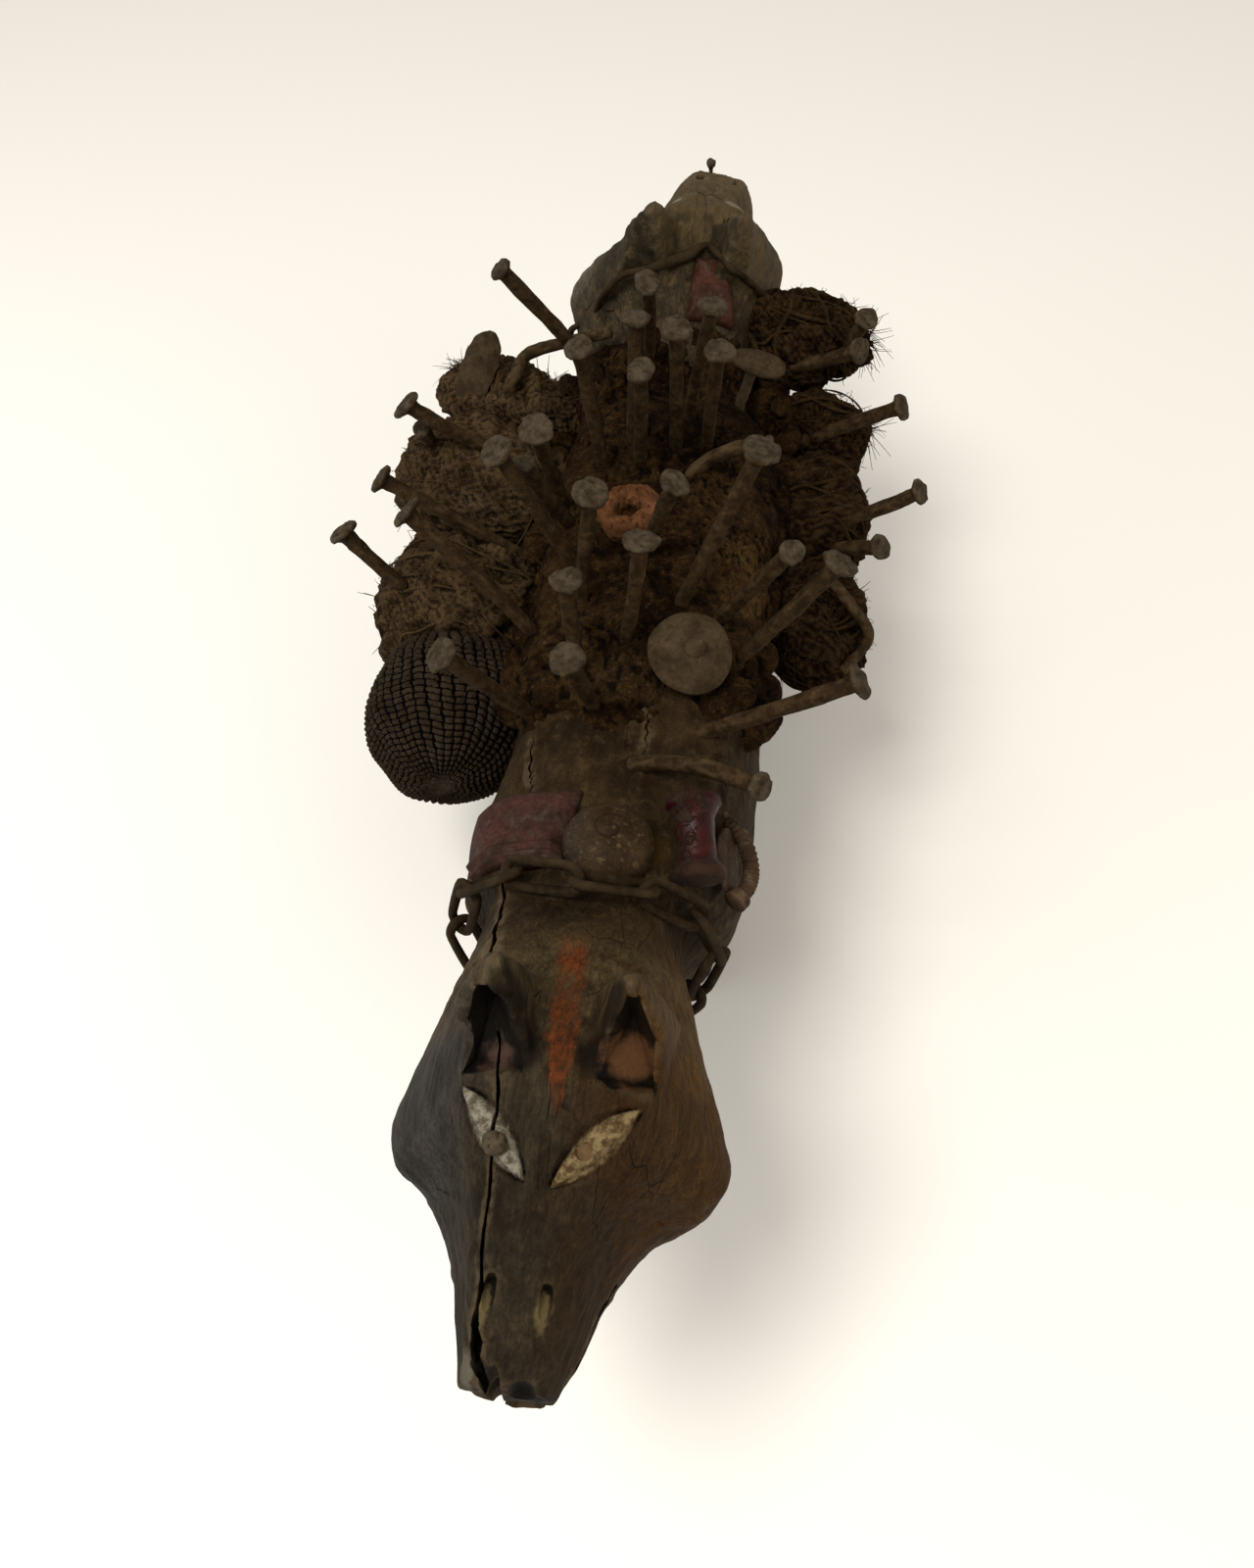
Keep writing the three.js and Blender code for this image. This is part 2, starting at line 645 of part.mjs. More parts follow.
// Flat oval blades on a short tang
function bladeShape(tip, foot, flat, grow = 0) {
  const ahead = tip.clone().sub(foot);
  const length = ahead.length();
  const matrix = facing(foot, flat, ahead.normalize());
  return tube(6, 4, (along, turn) => {
    const widths = [3, 4, 15, 14, 5];
    const width = widths[Math.round(along * 4)] + grow;
    const angle = turn * 2 * Math.PI;
    const ahead = length * along + (along > 0.5 ? grow : -grow);
    const rise = -(bladeThickness / 2 + grow) * Math.sin(angle);
    return V(width * Math.cos(angle), ahead, rise).applyMatrix4(matrix);
  });
}

function rod(points, radius, grow = 0, steps = 6) {
  const path = new THREE.CatmullRomCurve3(points);
  return tube(6, steps, (along, turn) => {
    const spot = path.getPoint(along);
    const ahead = path.getTangent(along);
    const across = V(0.1, 0.2, 1).cross(ahead).normalize();
    const other = ahead.clone().cross(across);
    const angle = turn * 2 * Math.PI;
    if (along < 0.001) spot.addScaledVector(ahead, -grow);
    if (along > 0.999) spot.addScaledVector(ahead, grow);
    return spot.addScaledVector(across, (radius + grow) * Math.sin(angle))
      .addScaledVector(other, (radius + grow) * Math.cos(angle));
  });
}

// Nails in the back: foot x and y on the wood, lean sideways and along the back, length proud of the wood
const backNails = [
  { x: -42, y: 182, side: -32, lean: -10, proud: 95, head: 6.5 },
  { x: -17, y: 190, side: 3, lean: -22, proud: 72, head: 7 },
  { x: -19, y: 120, side: 3, lean: 0, proud: 88, head: 7 },
  { x: -13, y: 106, side: 3, lean: -11, proud: 80, head: 7 },
  { x: 5, y: 120, side: 1, lean: -6, proud: 88, head: 7.5 },
  { x: 9, y: 146, side: 9, lean: -9, proud: 88, head: 7.5 },
  { x: 21, y: 121, side: 5, lean: -11, proud: 84, head: 7.5 },
  { x: -31, y: 104, side: -6, lean: -3, proud: 88, head: 7.5 },
  { x: -36, y: 33, side: -23, lean: -1, proud: 88, head: 8.5 },
  { x: -48, y: 84, side: -6, lean: -17, proud: 85, head: 9 },
  { x: -42, y: 67, side: -16, lean: -19, proud: 72, head: 5.5 },
  { x: -32, y: 11, side: 7, lean: -1, proud: 78, head: 8.5 },
  { x: -3, y: 39, side: 14, lean: -15, proud: 76, head: 7 },
  { x: -7, y: -19, side: 8, lean: -1, proud: 75, head: 8 },
  { x: -26, y: -36, side: -1, lean: -3, proud: 70, head: 7 },
  { x: -16, y: -56, side: -7, lean: -19, proud: 60, head: 7.5 },
  { x: -47, y: -53, side: -30, lean: -15, proud: 70, head: 8.5 },
  { x: 14, y: 0, side: 24, lean: 18, proud: 100, head: 9.5 },
  { x: 33, y: 2, side: 28, lean: -12, proud: 80, head: 6 },
  { x: 44, y: -17, side: 34, lean: 3, proud: 85, head: 8 },
  { x: 36, y: -62, side: 58, lean: 1, proud: 80, head: 8 },
  { x: -52, y: 3, side: -42, lean: 12, proud: 96, head: 8.5 },
  { x: 12, y: 97, side: 20, lean: 5, proud: 54, head: 6.5, bend: 85, bendTo: -10 },
  { x: 8, y: -88, side: 50, lean: -20, proud: 57, head: 6.5, bend: 62, bendTo: -38 },
];

// Nails in the bundles: foot out from the bundle's middle in shares of its half sizes
const bundleNails = [
  { bundle: 'right_top_bundle', out: [0.7, -0.65, 0.4], side: 18, lean: -17, proud: 28, head: 7 },
  { bundle: 'right_top_bundle', out: [-0.1, -0.9, 0], side: 53, lean: -35, proud: 52, head: 7.5 },
  { bundle: 'left_upper_bundle', out: [0.2, -0.15, 0.95], side: -52, lean: -10, proud: 54, head: 8 },
  { bundle: 'left_upper_bundle', out: [-0.5, 0, 0.85], side: -6, lean: -27, proud: 20, head: 5 },
  { bundle: 'left_mid_bundle', out: [0.35, 0.55, 0.75], side: -55, lean: 0, proud: 70, head: 7.5 },
  { bundle: 'left_mid_bundle', out: [-0.55, -0.3, 0.75], side: -35, lean: 2, proud: 45, head: 8.5 },
  { bundle: 'right_upper_bundle', out: [-0.45, -0.75, 0.4], side: 62, lean: 0, proud: 65, head: 8 },
  { bundle: 'right_mid_bundle', out: [0.55, -0.4, 0.7], side: 55, lean: -8, proud: 45, head: 7 },
  { bundle: 'right_mid_bundle', out: [0.35, -0.8, 0.5], side: 55, lean: -40, proud: 32, head: 6.5 },
];

const upright = ({ x, y, ...rest }) => ({ ...rest, foot: onTop(x, y).spot });
const onBundle = ({ bundle, out, ...rest }) => {
  const spec = bundles[bundle];
  return { ...rest, foot: bundleCentre(spec).add(V(...out).multiply(V(...spec.half))) };
};
const nails = [...backNails.map(upright), ...bundleNails.map(onBundle)];
const eyeNail = upright({
  x: -18, y: nearHeadY - 18, side: -10, lean: -20, proud: 6.8, head: 4.4, shaft: 0.4, deep: 12,
});
const snoutNail = upright({
  x: 4, y: farHeadY + 84, side: 0, lean: 10, proud: 7, head: 3, shaft: 0.35, deep: 10,
});

const hookShape = (grow = 0) => rod(
  [[-2, 6, 18], [5, 1, 34], [17, -12, 31], [27, -17, 15], [15, -34, 6]].map(
    (p) => bundleCentre(bundles.right_low_bundle).add(V(...p)),
  ),
  2.5, grow,
);
const barShape = (grow = 0) => rod(
  [
    ...[V(1, -12, 13), V(8, -10, 28)].map((p) => p.add(bundleCentre(bundles.left_top_bundle))),
    ...[[-1.46, 190, 1], [-1.08, 195, 3], [-0.65, 190, 18]].map(overBack),
  ],
  3.5, grow,
);
const leftBlade = (grow = 0) => {
  const middle = bundleCentre(bundles.left_top_bundle);
  const [tip, foot] = [V(0, -27, 49), V(-19, -8, 1)].map((p) => p.add(middle));
  return bladeShape(tip, foot, V(0.5, -0.8, 0.2), grow);
};
const rightBlade = (grow = 0) => joined([
  rod([overBack([0.93, 168, -15]), overBack([1.03, 161, 34])], 3, grow, 1),
  turned([[15, -1.5 - grow], [15, 1.5 + grow]].map(([r, h]) => [r + grow, h]), 10,
    facing(overBack([1.03, 160, 34]), V(0, -0.35, 0.94), V(0.3, 0.9, 0.3)).scale(V(1.05, 0.5, 1))),
]);

// The main part of what a cut leaves, without its crumbs
const whole = (body) => body.decompose().sort((a, b) => b.volume() - a.volume())[0];

// Putting it together: the wood first, then whatever lies on it, each cut clear of what it touches
const clearEars = [[nearHead, nearEarShift], [farHead, farEarShift]].flatMap(
  ([place, shift]) => [ear(place, -1, shift, gap), ear(place, 1, shift, gap)],
);
const clearWood = joined([woodLoft(gap), ...clearEars]);
const fittings = [];
function fit(name, shape, material, others = [], fitCuts = []) {
  let body = shape();
  for (const other of others) body = body.subtract(other);
  for (const cut of fitCuts) body = body.subtract(cut);
  fittings.push({ name, body: whole(body), material });
}

const nailCuts = [...nails.map((spec) => nailShape(spec, gap)), rightBlade(gap)];
let figure = joined([woodLoft(), ...headParts(nearHead, nearEarShift), ...headParts(farHead, farEarShift),
  ...legPlaces.map(([side, y, front]) => leg(side, y, front))]);
const woodCuts = [
  ...headCuts(nearHead, nearEarShift), ...headCuts(farHead, farEarShift), crack(), ...brokenSnout(),
];
const ironCuts = [...nailCuts, nailShape(eyeNail, gap), nailShape(snoutNail, gap), collarShape(gap)];
for (const cut of [...woodCuts, ...ironCuts]) {
  figure = figure.subtract(cut);
}
fittings.push({ name: 'dog_figure', body: whole(figure), material: wood });

const packClear = packShape(gap);
const packCuts = [cupShape(gap), bossShape(gap), pinShape(gap), ...nailCuts];
fit('earth_pack', packShape, earth, [clearWood], packCuts);
fit('clay_cup', cupShape, clay, [clearWood, cupHole()], nailCuts);
fit('boss_disc', bossShape, iron, [clearWood, pinShape(gap)], nailCuts);
fit('boss_pin', pinShape, iron);
fit('neck_pad', padShape, redLeather, [clearWood, domeShape(gap)]);
fit('shell_dome', domeShape, shell, [clearWood]);
fit('red_spool', spoolShape, lacquer, [clearWood]);
fit('side_flap', flapShape, brownLeather, [clearWood, spoolShape(gap)]);
fit('leather_loop', loopShape, brownLeather, [clearWood, flapShape(gap), spoolShape(gap)]);
fit('neck_chain', chainShape, iron, [clearWood, domeShape(gap), padShape(2 * gap)]);
fit('far_collar', collarShape, iron);
fit('far_pad', farPadShape, redLeather, [clearWood, packClear, collarShape(gap)]);

const done = [];
for (const [name, spec] of Object.entries(bundles)) {
  fit(name, () => bundleShape(spec), raffia, [clearWood, packClear, collarShape(gap), ...done],
    [...nailCuts, hookShape(gap), barShape(gap), leftBlade(gap)]);
  done.push(bundleShape(spec, gap));
}
fit('side_hook', hookShape, iron);
fit('bent_bar', barShape, iron);
fit('blade_left', leftBlade, iron);
fit('blade_right', rightBlade, iron);
fit('eye_nail', () => nailShape(eyeNail), iron);
fit('snout_nail', () => nailShape(snoutNail), iron);
nails.forEach((spec, i) => fit(`nail_${String(i + 1).padStart(2, '0')}`, () => nailShape(spec), iron));

const model = new THREE.Group();
for (const { name, body, material } of fittings) model.add(piece(name, body, material));

// The origin stands on the ground under the middle of the whole thing
const box = new THREE.Box3().setFromObject(model);
const middle = box.getCenter(V());
model.position.set(-middle.x, -middle.y, 0);

export default model;
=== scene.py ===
import math

import bmesh
import bpy
import numpy as np
from mathutils import Matrix


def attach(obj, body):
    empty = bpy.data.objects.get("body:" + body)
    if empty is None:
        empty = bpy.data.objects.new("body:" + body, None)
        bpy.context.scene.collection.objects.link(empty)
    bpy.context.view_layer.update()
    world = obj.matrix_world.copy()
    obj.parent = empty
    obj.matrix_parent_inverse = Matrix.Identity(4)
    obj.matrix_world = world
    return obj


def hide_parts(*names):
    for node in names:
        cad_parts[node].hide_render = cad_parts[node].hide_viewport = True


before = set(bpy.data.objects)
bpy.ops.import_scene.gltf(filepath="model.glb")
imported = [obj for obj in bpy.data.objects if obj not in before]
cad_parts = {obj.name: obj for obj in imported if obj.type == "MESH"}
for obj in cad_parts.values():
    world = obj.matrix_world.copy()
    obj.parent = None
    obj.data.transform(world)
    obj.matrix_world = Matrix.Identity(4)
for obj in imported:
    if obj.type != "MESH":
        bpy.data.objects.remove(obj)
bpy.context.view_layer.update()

# Sizes are in millimetres in the carving's own frame, whose zero stands MIDDLE away from the model's.
# The near head looks along -Y, the far head along +Y, and Z is up.
MIDDLE = np.array([-11.801, 6.583, 0.0])
BACK_HEIGHT = 206
BELLY_HEIGHT = 82
BARREL_HALF_WIDTH = 61
BARREL_FRONT = -135
BARREL_BACK = 150
CHEEK_HEIGHT = 205
NEAR_HEAD = (-1.5, -267)
NEAR_BOW = 0.07
CHEEK_SKEW = -0.055
FAR_HEAD = (1, 280)
FAR_TURNS = (5, 9, -1.5)
FAR_SKEW = 0.4
FAR_LEAN = 9
FAR_WAIST = 0.24
NEAR_WAIST = 0.17
NEAR_EAR_SHIFT = 3
FAR_EAR_SHIFT = -3
MOUTH_GAP = 8
SECTION_ROUNDNESS = 0.36
LEG_SPREAD = 27
NEAR_LEG_Y = -58
FAR_LEG_Y = 112
PACK_THICKNESS = 13
WIRE_RADIUS = 2
CHAIN_Y = -168
CHAIN_SLOPE = 18
CHAIN_STAND_OFF = 10
LINK_WIDTH = 16
LINK_PITCH = 30
CHAIN_HINGES = 16
DOME_Y = -134
DOME_RADIUS = 20
DOME_HEIGHT = 14.5
DOME_COILS = 3.1
BOSS_Y = -30
BOSS_TILT = (0.02, -0.42, 0)
PIN_TILT = (0.16, 0.12, 0)
CUP_Y = 60
COLLAR_Y = 240
NAIL_SHAFT = 3.9
NAIL_DEPTH = 24
SKIN_CELLS = (150, 460)
WOOD_VOXEL = 1.45
WOOD_TRIANGLES = 178000
EARTH_VOXEL = 1.5
EARTH_TRIANGLES = 120000
SIDE_CLODS = 70
TOP_CLODS = 30
FILL_CLODS = 7
NAIL_CELLS = (28, 46)
BUNDLE_CELLS = (150, 116)
BAG_CELLS = (42, 40)
PAINT_TONE = 0.82
SHEEN = 0.005
TAU = 2 * math.pi

# The camera: 31.5 mm lens, steeply over the near head
CAMERA_SPOT = np.array([62.0, -453.6, 698.0])
CAMERA_AROUND = 9.3
CAMERA_RISE = 53.9
CAMERA_ROLL = -3.3
CAMERA_LENS = 31.5


def metres(spots):
    return (np.asarray(spots, dtype=float) - MIDDLE) / 1000


def set_camera():
    around, rise, roll = np.radians([CAMERA_AROUND, CAMERA_RISE, CAMERA_ROLL])
    back = np.array([math.sin(around) * math.cos(rise), -math.cos(around) * math.cos(rise), math.sin(rise)])
    level = np.cross([0, 0, 1], back)
    level /= np.linalg.norm(level)
    upward = np.cross(back, level)
    right = math.cos(roll) * level + math.sin(roll) * upward
    up = math.cos(roll) * upward - math.sin(roll) * level
    camera = bpy.data.objects.new("camera", bpy.data.cameras.new("camera"))
    bpy.context.collection.objects.link(camera)
    placement = np.eye(4)
    placement[:3, 0] = right
    placement[:3, 1] = up
    placement[:3, 2] = back
    placement[:3, 3] = metres(CAMERA_SPOT)
    camera.matrix_world = Matrix(placement.tolist())
    camera.data.lens = CAMERA_LENS
    camera.data.sensor_width = 36
    camera.data.clip_start = 0.01
    bpy.context.scene.camera = camera


# Plain arithmetic on shader sockets
class Value:
    def __init__(self, look, socket):
        self.look = look
        self.socket = socket

    def join(self, operation, first, second=0.0):
        return self.look.value("ShaderNodeMath", {"operation": operation}, {0: first, 1: second})

    def __add__(self, other):
        return self.join("ADD", self, other)

    def __radd__(self, other):
        return self.join("ADD", other, self)

    def __sub__(self, other):
        return self.join("SUBTRACT", self, other)

    def __rsub__(self, other):
        return self.join("SUBTRACT", other, self)

    def __mul__(self, other):
        return self.join("MULTIPLY", self, other)

    def __rmul__(self, other):
        return self.join("MULTIPLY", other, self)

    def __truediv__(self, other):
        return self.join("DIVIDE", self, other)

    def __abs__(self):
        return self.join("ABSOLUTE", self)

    def high(self, other):
        return self.join("MAXIMUM", self, other)

    def step(self, start, end):
        settings = {"interpolation_type": "SMOOTHSTEP", "clamp": True}
        return self.look.value("ShaderNodeMapRange", settings, {0: self, 1: start, 2: end, 3: 0.0, 4: 1.0})


class Look:
    def __init__(self, name):
        self.material = bpy.data.materials.new(name)
        self.material.use_nodes = True
        self.tree = self.material.node_tree
        self.shader = next(n for n in self.tree.nodes if n.type == "BSDF_PRINCIPLED")
        self.place = self.value("ShaderNodeTexCoord", output="Object")

    def node(self, kind, settings=None, inputs=None):
        made = self.tree.nodes.new(kind)
        for key, setting in (settings or {}).items():
            setattr(made, key, setting)
        for key, given in (inputs or {}).items():
            self.feed(made.inputs[key], given)
        return made

    def feed(self, socket, given):
        if isinstance(given, Value):
            self.tree.links.new(given.socket, socket)
        elif isinstance(given, tuple) and len(given) == 3 and socket.type == "RGBA":
            socket.default_value = (*given, 1)
        else:
            socket.default_value = given

    def value(self, kind, settings=None, inputs=None, output=0):
        return Value(self, self.node(kind, settings, inputs).outputs[output])

    # A coordinate of the object in millimetres
    def axis(self, name):
        return self.value("ShaderNodeSeparateXYZ", None, {0: self.place}, name) * 1000

    # A number that the mesh keeps at each of its points
    def kept(self, name):
        return self.value("ShaderNodeAttribute", {"attribute_name": name}, None, "Fac")

    # Places counted in steps of size millimetres, pulled out along the axes by stretch
    def spread(self, size, stretch, shift=0.0):
        scale = tuple(1000 / (size * pull) for pull in stretch)
        inputs = {"Vector": self.place, "Scale": scale, "Location": (shift, shift, shift)}
        return self.value("ShaderNodeMapping", None, inputs)

    # Noise of features about size millimetres across
    def noise(self, size, detail=4.0, stretch=(1, 1, 1), rough=0.55, twist=0.0, shift=0.0):
        inputs = {"Vector": self.spread(size, stretch, shift), "Scale": 1.0, "Detail": detail,
                  "Roughness": rough, "Distortion": twist}
        return self.value("ShaderNodeTexNoise", None, inputs, "Fac")

    # How far a place is from the border between cells about size millimetres across
    def border(self, size, stretch):
        inputs = {"Vector": self.spread(size, stretch), "Scale": 1.0}
        return self.value("ShaderNodeTexVoronoi", {"feature": "DISTANCE_TO_EDGE"}, inputs, "Distance")

    def mix(self, factor, first, second, blend="MIX"):
        settings = {"data_type": "RGBA", "blend_type": blend}
        return self.value("ShaderNodeMix", settings, {0: factor, 6: first, 7: second}, 2)

    # The first colour where a pattern is under start and the second where it is over end
    def blend(self, pattern, first, second, start=0.3, end=0.7):
        return self.mix(pattern.step(start, end), paint(*first), paint(*second))

    # Colours laid over the first in turn: each with where it lies and its share there
    def layered(self, colour, *layers):
        for where, share, laid in layers:
            colour = self.mix(where * share, colour, laid)
        return colour

    def shaded(self, colour, where, shade):
        return self.mix(where, colour, grey(shade), "MULTIPLY")

    # The colour times low where a pattern is under start, up to times high where it is over end
    def mottled(self, colour, pattern, low, high, start=0.3, end=0.7):
        return self.mix(1.0, colour, self.mix(pattern.step(start, end), grey(low), grey(high)), "MULTIPLY")

    # 1 inside an egg shape round a spot, falling to 0 at its rim
    def egg(self, spot, radii, soft=0.5, wobble=0.0):
        centre = tuple(metres(spot))
        away = self.value("ShaderNodeVectorMath", {"operation": "SUBTRACT"}, {0: self.place, 1: centre})
        scaled = self.value("ShaderNodeVectorMath", {"operation": "DIVIDE"},
                            {0: away, 1: tuple(r / 1000 for r in radii)})
        reach = self.value("ShaderNodeVectorMath", {"operation": "LENGTH"}, {0: scaled}, "Value")
        if wobble:
            reach = reach + (self.noise(min(radii) * 0.7) - 0.5) * wobble
        return 1.0 - reach.step(1 - soft, 1.0)

    def finish(self, colour, roughness, height=None, depth=1.0, specular=None):
        self.feed(self.shader.inputs["Base Color"], colour)
        self.feed(self.shader.inputs["Roughness"], roughness)
        if height is not None:
            inputs = {"Strength": 1.0, "Distance": depth / 1000, "Height": height}
            self.feed(self.shader.inputs["Normal"], self.value("ShaderNodeBump", None, inputs, "Normal"))
        if specular is not None:
            self.shader.inputs["Specular IOR Level"].default_value = specular
        return self.material


# A paint that comes out as this colour in the studio light, its faint sheen taken off
def paint(red, green, blue):
    shades = (((c / 255 + 0.055) / 1.055) ** 2.4 for c in (red, green, blue))
    return tuple(PAINT_TONE * max(shade - SHEEN, 0.2 * shade) for shade in shades)


def grey(shade):
    return (shade, shade, shade)


# Meshes
def stock(make):
    build = bmesh.new()
    make(build)
    mesh = bpy.data.meshes.new("stock")
    build.to_mesh(mesh)
    build.free()
    return mesh


def read(mesh):
    spots = np.empty(len(mesh.vertices) * 3)
    mesh.vertices.foreach_get("co", spots)
    return spots.reshape(-1, 3)


def write(mesh, spots):
    mesh.vertices.foreach_set("co", np.asarray(spots, dtype=float).reshape(-1))
    mesh.update()


def normals(mesh):
    ways = np.empty(len(mesh.vertices) * 3)
    mesh.vertices.foreach_get("normal", ways)
    return ways.reshape(-1, 3)


# A mesh after work on it
def worked(mesh, work):
    build = bmesh.new()
    build.from_mesh(mesh)
    work(build)
    build.to_mesh(mesh)
    build.free()
    return mesh


def outward(mesh):
    return worked(mesh, lambda build: bmesh.ops.recalc_face_normals(build, faces=build.faces))


# A mesh with each point moved along its normal by height(spots)
def pushed(mesh, height):
    spots = read(mesh)
    write(mesh, spots + normals(mesh) * height(spots)[:, None])
    return mesh


def joined(meshes):
    def gather(build):
        for mesh in meshes:
            build.from_mesh(mesh)
    return stock(gather)


def copies(mesh, count):
    return joined([mesh] * count)


# A closed tube with its skin at place(along, turn), its ends closed at the middle of the end rings
def tube_stock(around, steps):
    mesh = stock(lambda b: bmesh.ops.create_uvsphere(b, u_segments=around, v_segments=steps + 2, radius=1))
    spots = read(mesh)
    level = np.rint(np.arccos(np.clip(spots[:, 2], -1, 1)) / math.pi * (steps + 2)) - 1
    turn = np.arctan2(spots[:, 1], spots[:, 0]) / TAU % 1
    return mesh, level / steps, turn


def tube(around, steps, place):
    mesh, along, turn = tube_stock(around, steps)
    rim = np.arange(around) / around
    spots = place(np.clip(along, 0, 1), turn)
    for end, inside in ((0, along < 0), (1, along > 1)):
        spots[inside] = place(np.full(around, float(end)), rim).mean(0)
    write(mesh, spots)
    return outward(mesh)


def ring_stock(around, steps):
    def make(build):
        turned = bmesh.ops.create_circle(build, segments=around, radius=1)
        for vert in turned["verts"]:
            vert.co = (vert.co.x + 2, 0, vert.co.y)
        bmesh.ops.spin(build, geom=build.verts[:] + build.edges[:], cent=(0, 0, 0), axis=(0, 0, 1),
                       angle=TAU, steps=steps, use_merge=True)
    mesh = stock(make)
    spots = read(mesh)
    along = np.arctan2(spots[:, 1], spots[:, 0]) / TAU % 1
    turn = np.arctan2(spots[:, 2], np.hypot(spots[:, 0], spots[:, 1]) - 2) / TAU % 1
    return mesh, along, turn


def ring(around, steps, place):
    mesh, along, turn = ring_stock(around, steps)
    write(mesh, place(along, turn))
    return outward(mesh)


# A closed slab: place(across, along, upper) with both shares from 0 to 1 and upper 0 or 1
def slab(columns, rows, place):
    def make(build):
        bmesh.ops.create_grid(build, x_segments=columns, y_segments=rows, size=0.5)
        raised = bmesh.ops.extrude_face_region(build, geom=build.faces[:] + build.edges[:] + build.verts[:])
        for item in raised["geom"]:
            if isinstance(item, bmesh.types.BMVert):
                item.co.z = 1
    mesh = stock(make)
    spots = read(mesh)
    write(mesh, place(spots[:, 0] + 0.5, spots[:, 1] + 0.5, spots[:, 2]))
    return outward(mesh)


def ball(around, steps, place):
    mesh = stock(lambda b: bmesh.ops.create_uvsphere(b, u_segments=around, v_segments=steps, radius=1))
    write(mesh, place(read(mesh)))
    return outward(mesh)


def hull(points):
    def make(build):
        for point in points:
            build.verts.new(point)
        bmesh.ops.convex_hull(build, input=build.verts)
    return stock(make)


def added(name, mesh):
    thing = bpy.data.objects.new(name, mesh)
    bpy.context.collection.objects.link(thing)
    return thing


def changed(mesh, kind, **settings):
    thing = added("work", mesh)
    modifier = thing.modifiers.new("work", kind)
    for key, setting in settings.items():
        setattr(modifier, key, setting)
    result = bpy.data.meshes.new_from_object(thing.evaluated_get(bpy.context.evaluated_depsgraph_get()))
    bpy.data.objects.remove(thing)
    return result


def remeshed(mesh, voxel):
    return changed(mesh, "REMESH", mode="VOXEL", voxel_size=voxel)


def thinned(mesh, most):
    mesh.calc_loop_triangles()
    count = len(mesh.loop_triangles)
    if count <= most:
        return mesh
    return changed(mesh, "DECIMATE", decimate_type="COLLAPSE", ratio=most / count)


def cut(mesh, cutter):
    blade = added("blade", cutter)
    result = changed(mesh, "BOOLEAN", operation="DIFFERENCE", solver="MANIFOLD", object=blade)
    bpy.data.objects.remove(blade)
    return result


def eased(mesh, rounds):
    def work(build):
        for _ in range(rounds):
            bmesh.ops.smooth_vert(build, verts=build.verts, factor=0.5, use_axis_x=True, use_axis_y=True,
                                  use_axis_z=True)
    return worked(mesh, work)


# A finished piece: in metres at the model's place, riding on the body, with its look, the model's parts that
# it stands for hidden
def piece(name, mesh, material, nodes, sharp=None):
    write(mesh, metres(read(mesh)))
    thing = added(name, mesh)
    mesh.materials.clear()
    mesh.materials.append(material)
    for face in mesh.polygons:
        face.use_smooth = True
    if sharp:
        mesh.set_sharp_from_angle(angle=math.radians(sharp))
    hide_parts(*nodes)
    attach(thing, "root")
    return thing


def keep(mesh, name, numbers):
    kept = mesh.attributes.new(name, "FLOAT", "POINT")
    kept.data.foreach_set("value", np.asarray(numbers, dtype=float))


# Lumpy noise from a few waves: features about size across, pulled out along the axes by stretch
def lumps(spots, size, seed, stretch=(1, 1, 1), waves=14):
    chance = np.random.default_rng(seed)
    ways = chance.normal(size=(waves, 3))
    ways /= np.linalg.norm(ways, axis=1)[:, None]
    rates = TAU / size * chance.uniform(0.55, 1.5, waves)
    shifts = chance.uniform(0, TAU, waves)
    steps = (np.asarray(spots) / np.array(stretch)) @ (ways * rates[:, None]).T + shifts
    return np.sin(steps).sum(1) / math.sqrt(waves)


def smooth_step(numbers, start, end):
    share = np.clip((numbers - start) / (end - start), 0, 1)
    return share * share * (3 - 2 * share)


def unit(ways):
    ways = np.asarray(ways, dtype=float)
    return ways / np.maximum(np.linalg.norm(ways, axis=-1, keepdims=True), 1e-9)


def turned_by(spots, degrees, axis):
    angle = math.radians(degrees)
    first, second = [(1, 2), (2, 0), (0, 1)][axis]
    result = np.array(spots, dtype=float)
    result[..., first] = math.cos(angle) * spots[..., first] - math.sin(angle) * spots[..., second]
    result[..., second] = math.sin(angle) * spots[..., first] + math.cos(angle) * spots[..., second]
    return result


# The carving's skin, the same sections as the solid's
HEAD_SECTIONS = [
    (89, 12, 12, 9, 17, -3, 12, -12, -15),
    (74, 21, 14, 17, 22, -6, 17, -20, -26),
    (50, 31, 18, 27, 30, -6, 25, -28, -36),
    (26, 41, 24, 36, 45, -6, 36, -34, -45),
    (16, 45, 27, 40, 60, -2, 42, -36, -48),
    (2, 49, 30, 44, 65, 0, 46, -38, -52),
    (-12, 48, 34, 42, 62, -2, 44, -44, -56),
    (-35, 42, 35, 36, 56, -4, 41, -48, -62),
    (-65, 30, 31, 24, 49, -8, 35, -50, -72),
    (-110, 6, 32, -2, 47, -40, 34, -78, -98),
]
BARREL_SECTIONS = [
    (0, 1.03, 1, -7),
    (0.13, 1.07, 0, -3),
    (0.27, 1.02, 0, 0),
    (0.48, 1, -1, 0),
    (0.7, 1, 0, 0),
    (0.88, 1, 0, 0),
    (1, 0.92, 0, 0),
]


def narrowed(forward, middle, reach):
    return np.maximum(0, 1 - np.abs(np.asarray(forward) - middle) / reach)


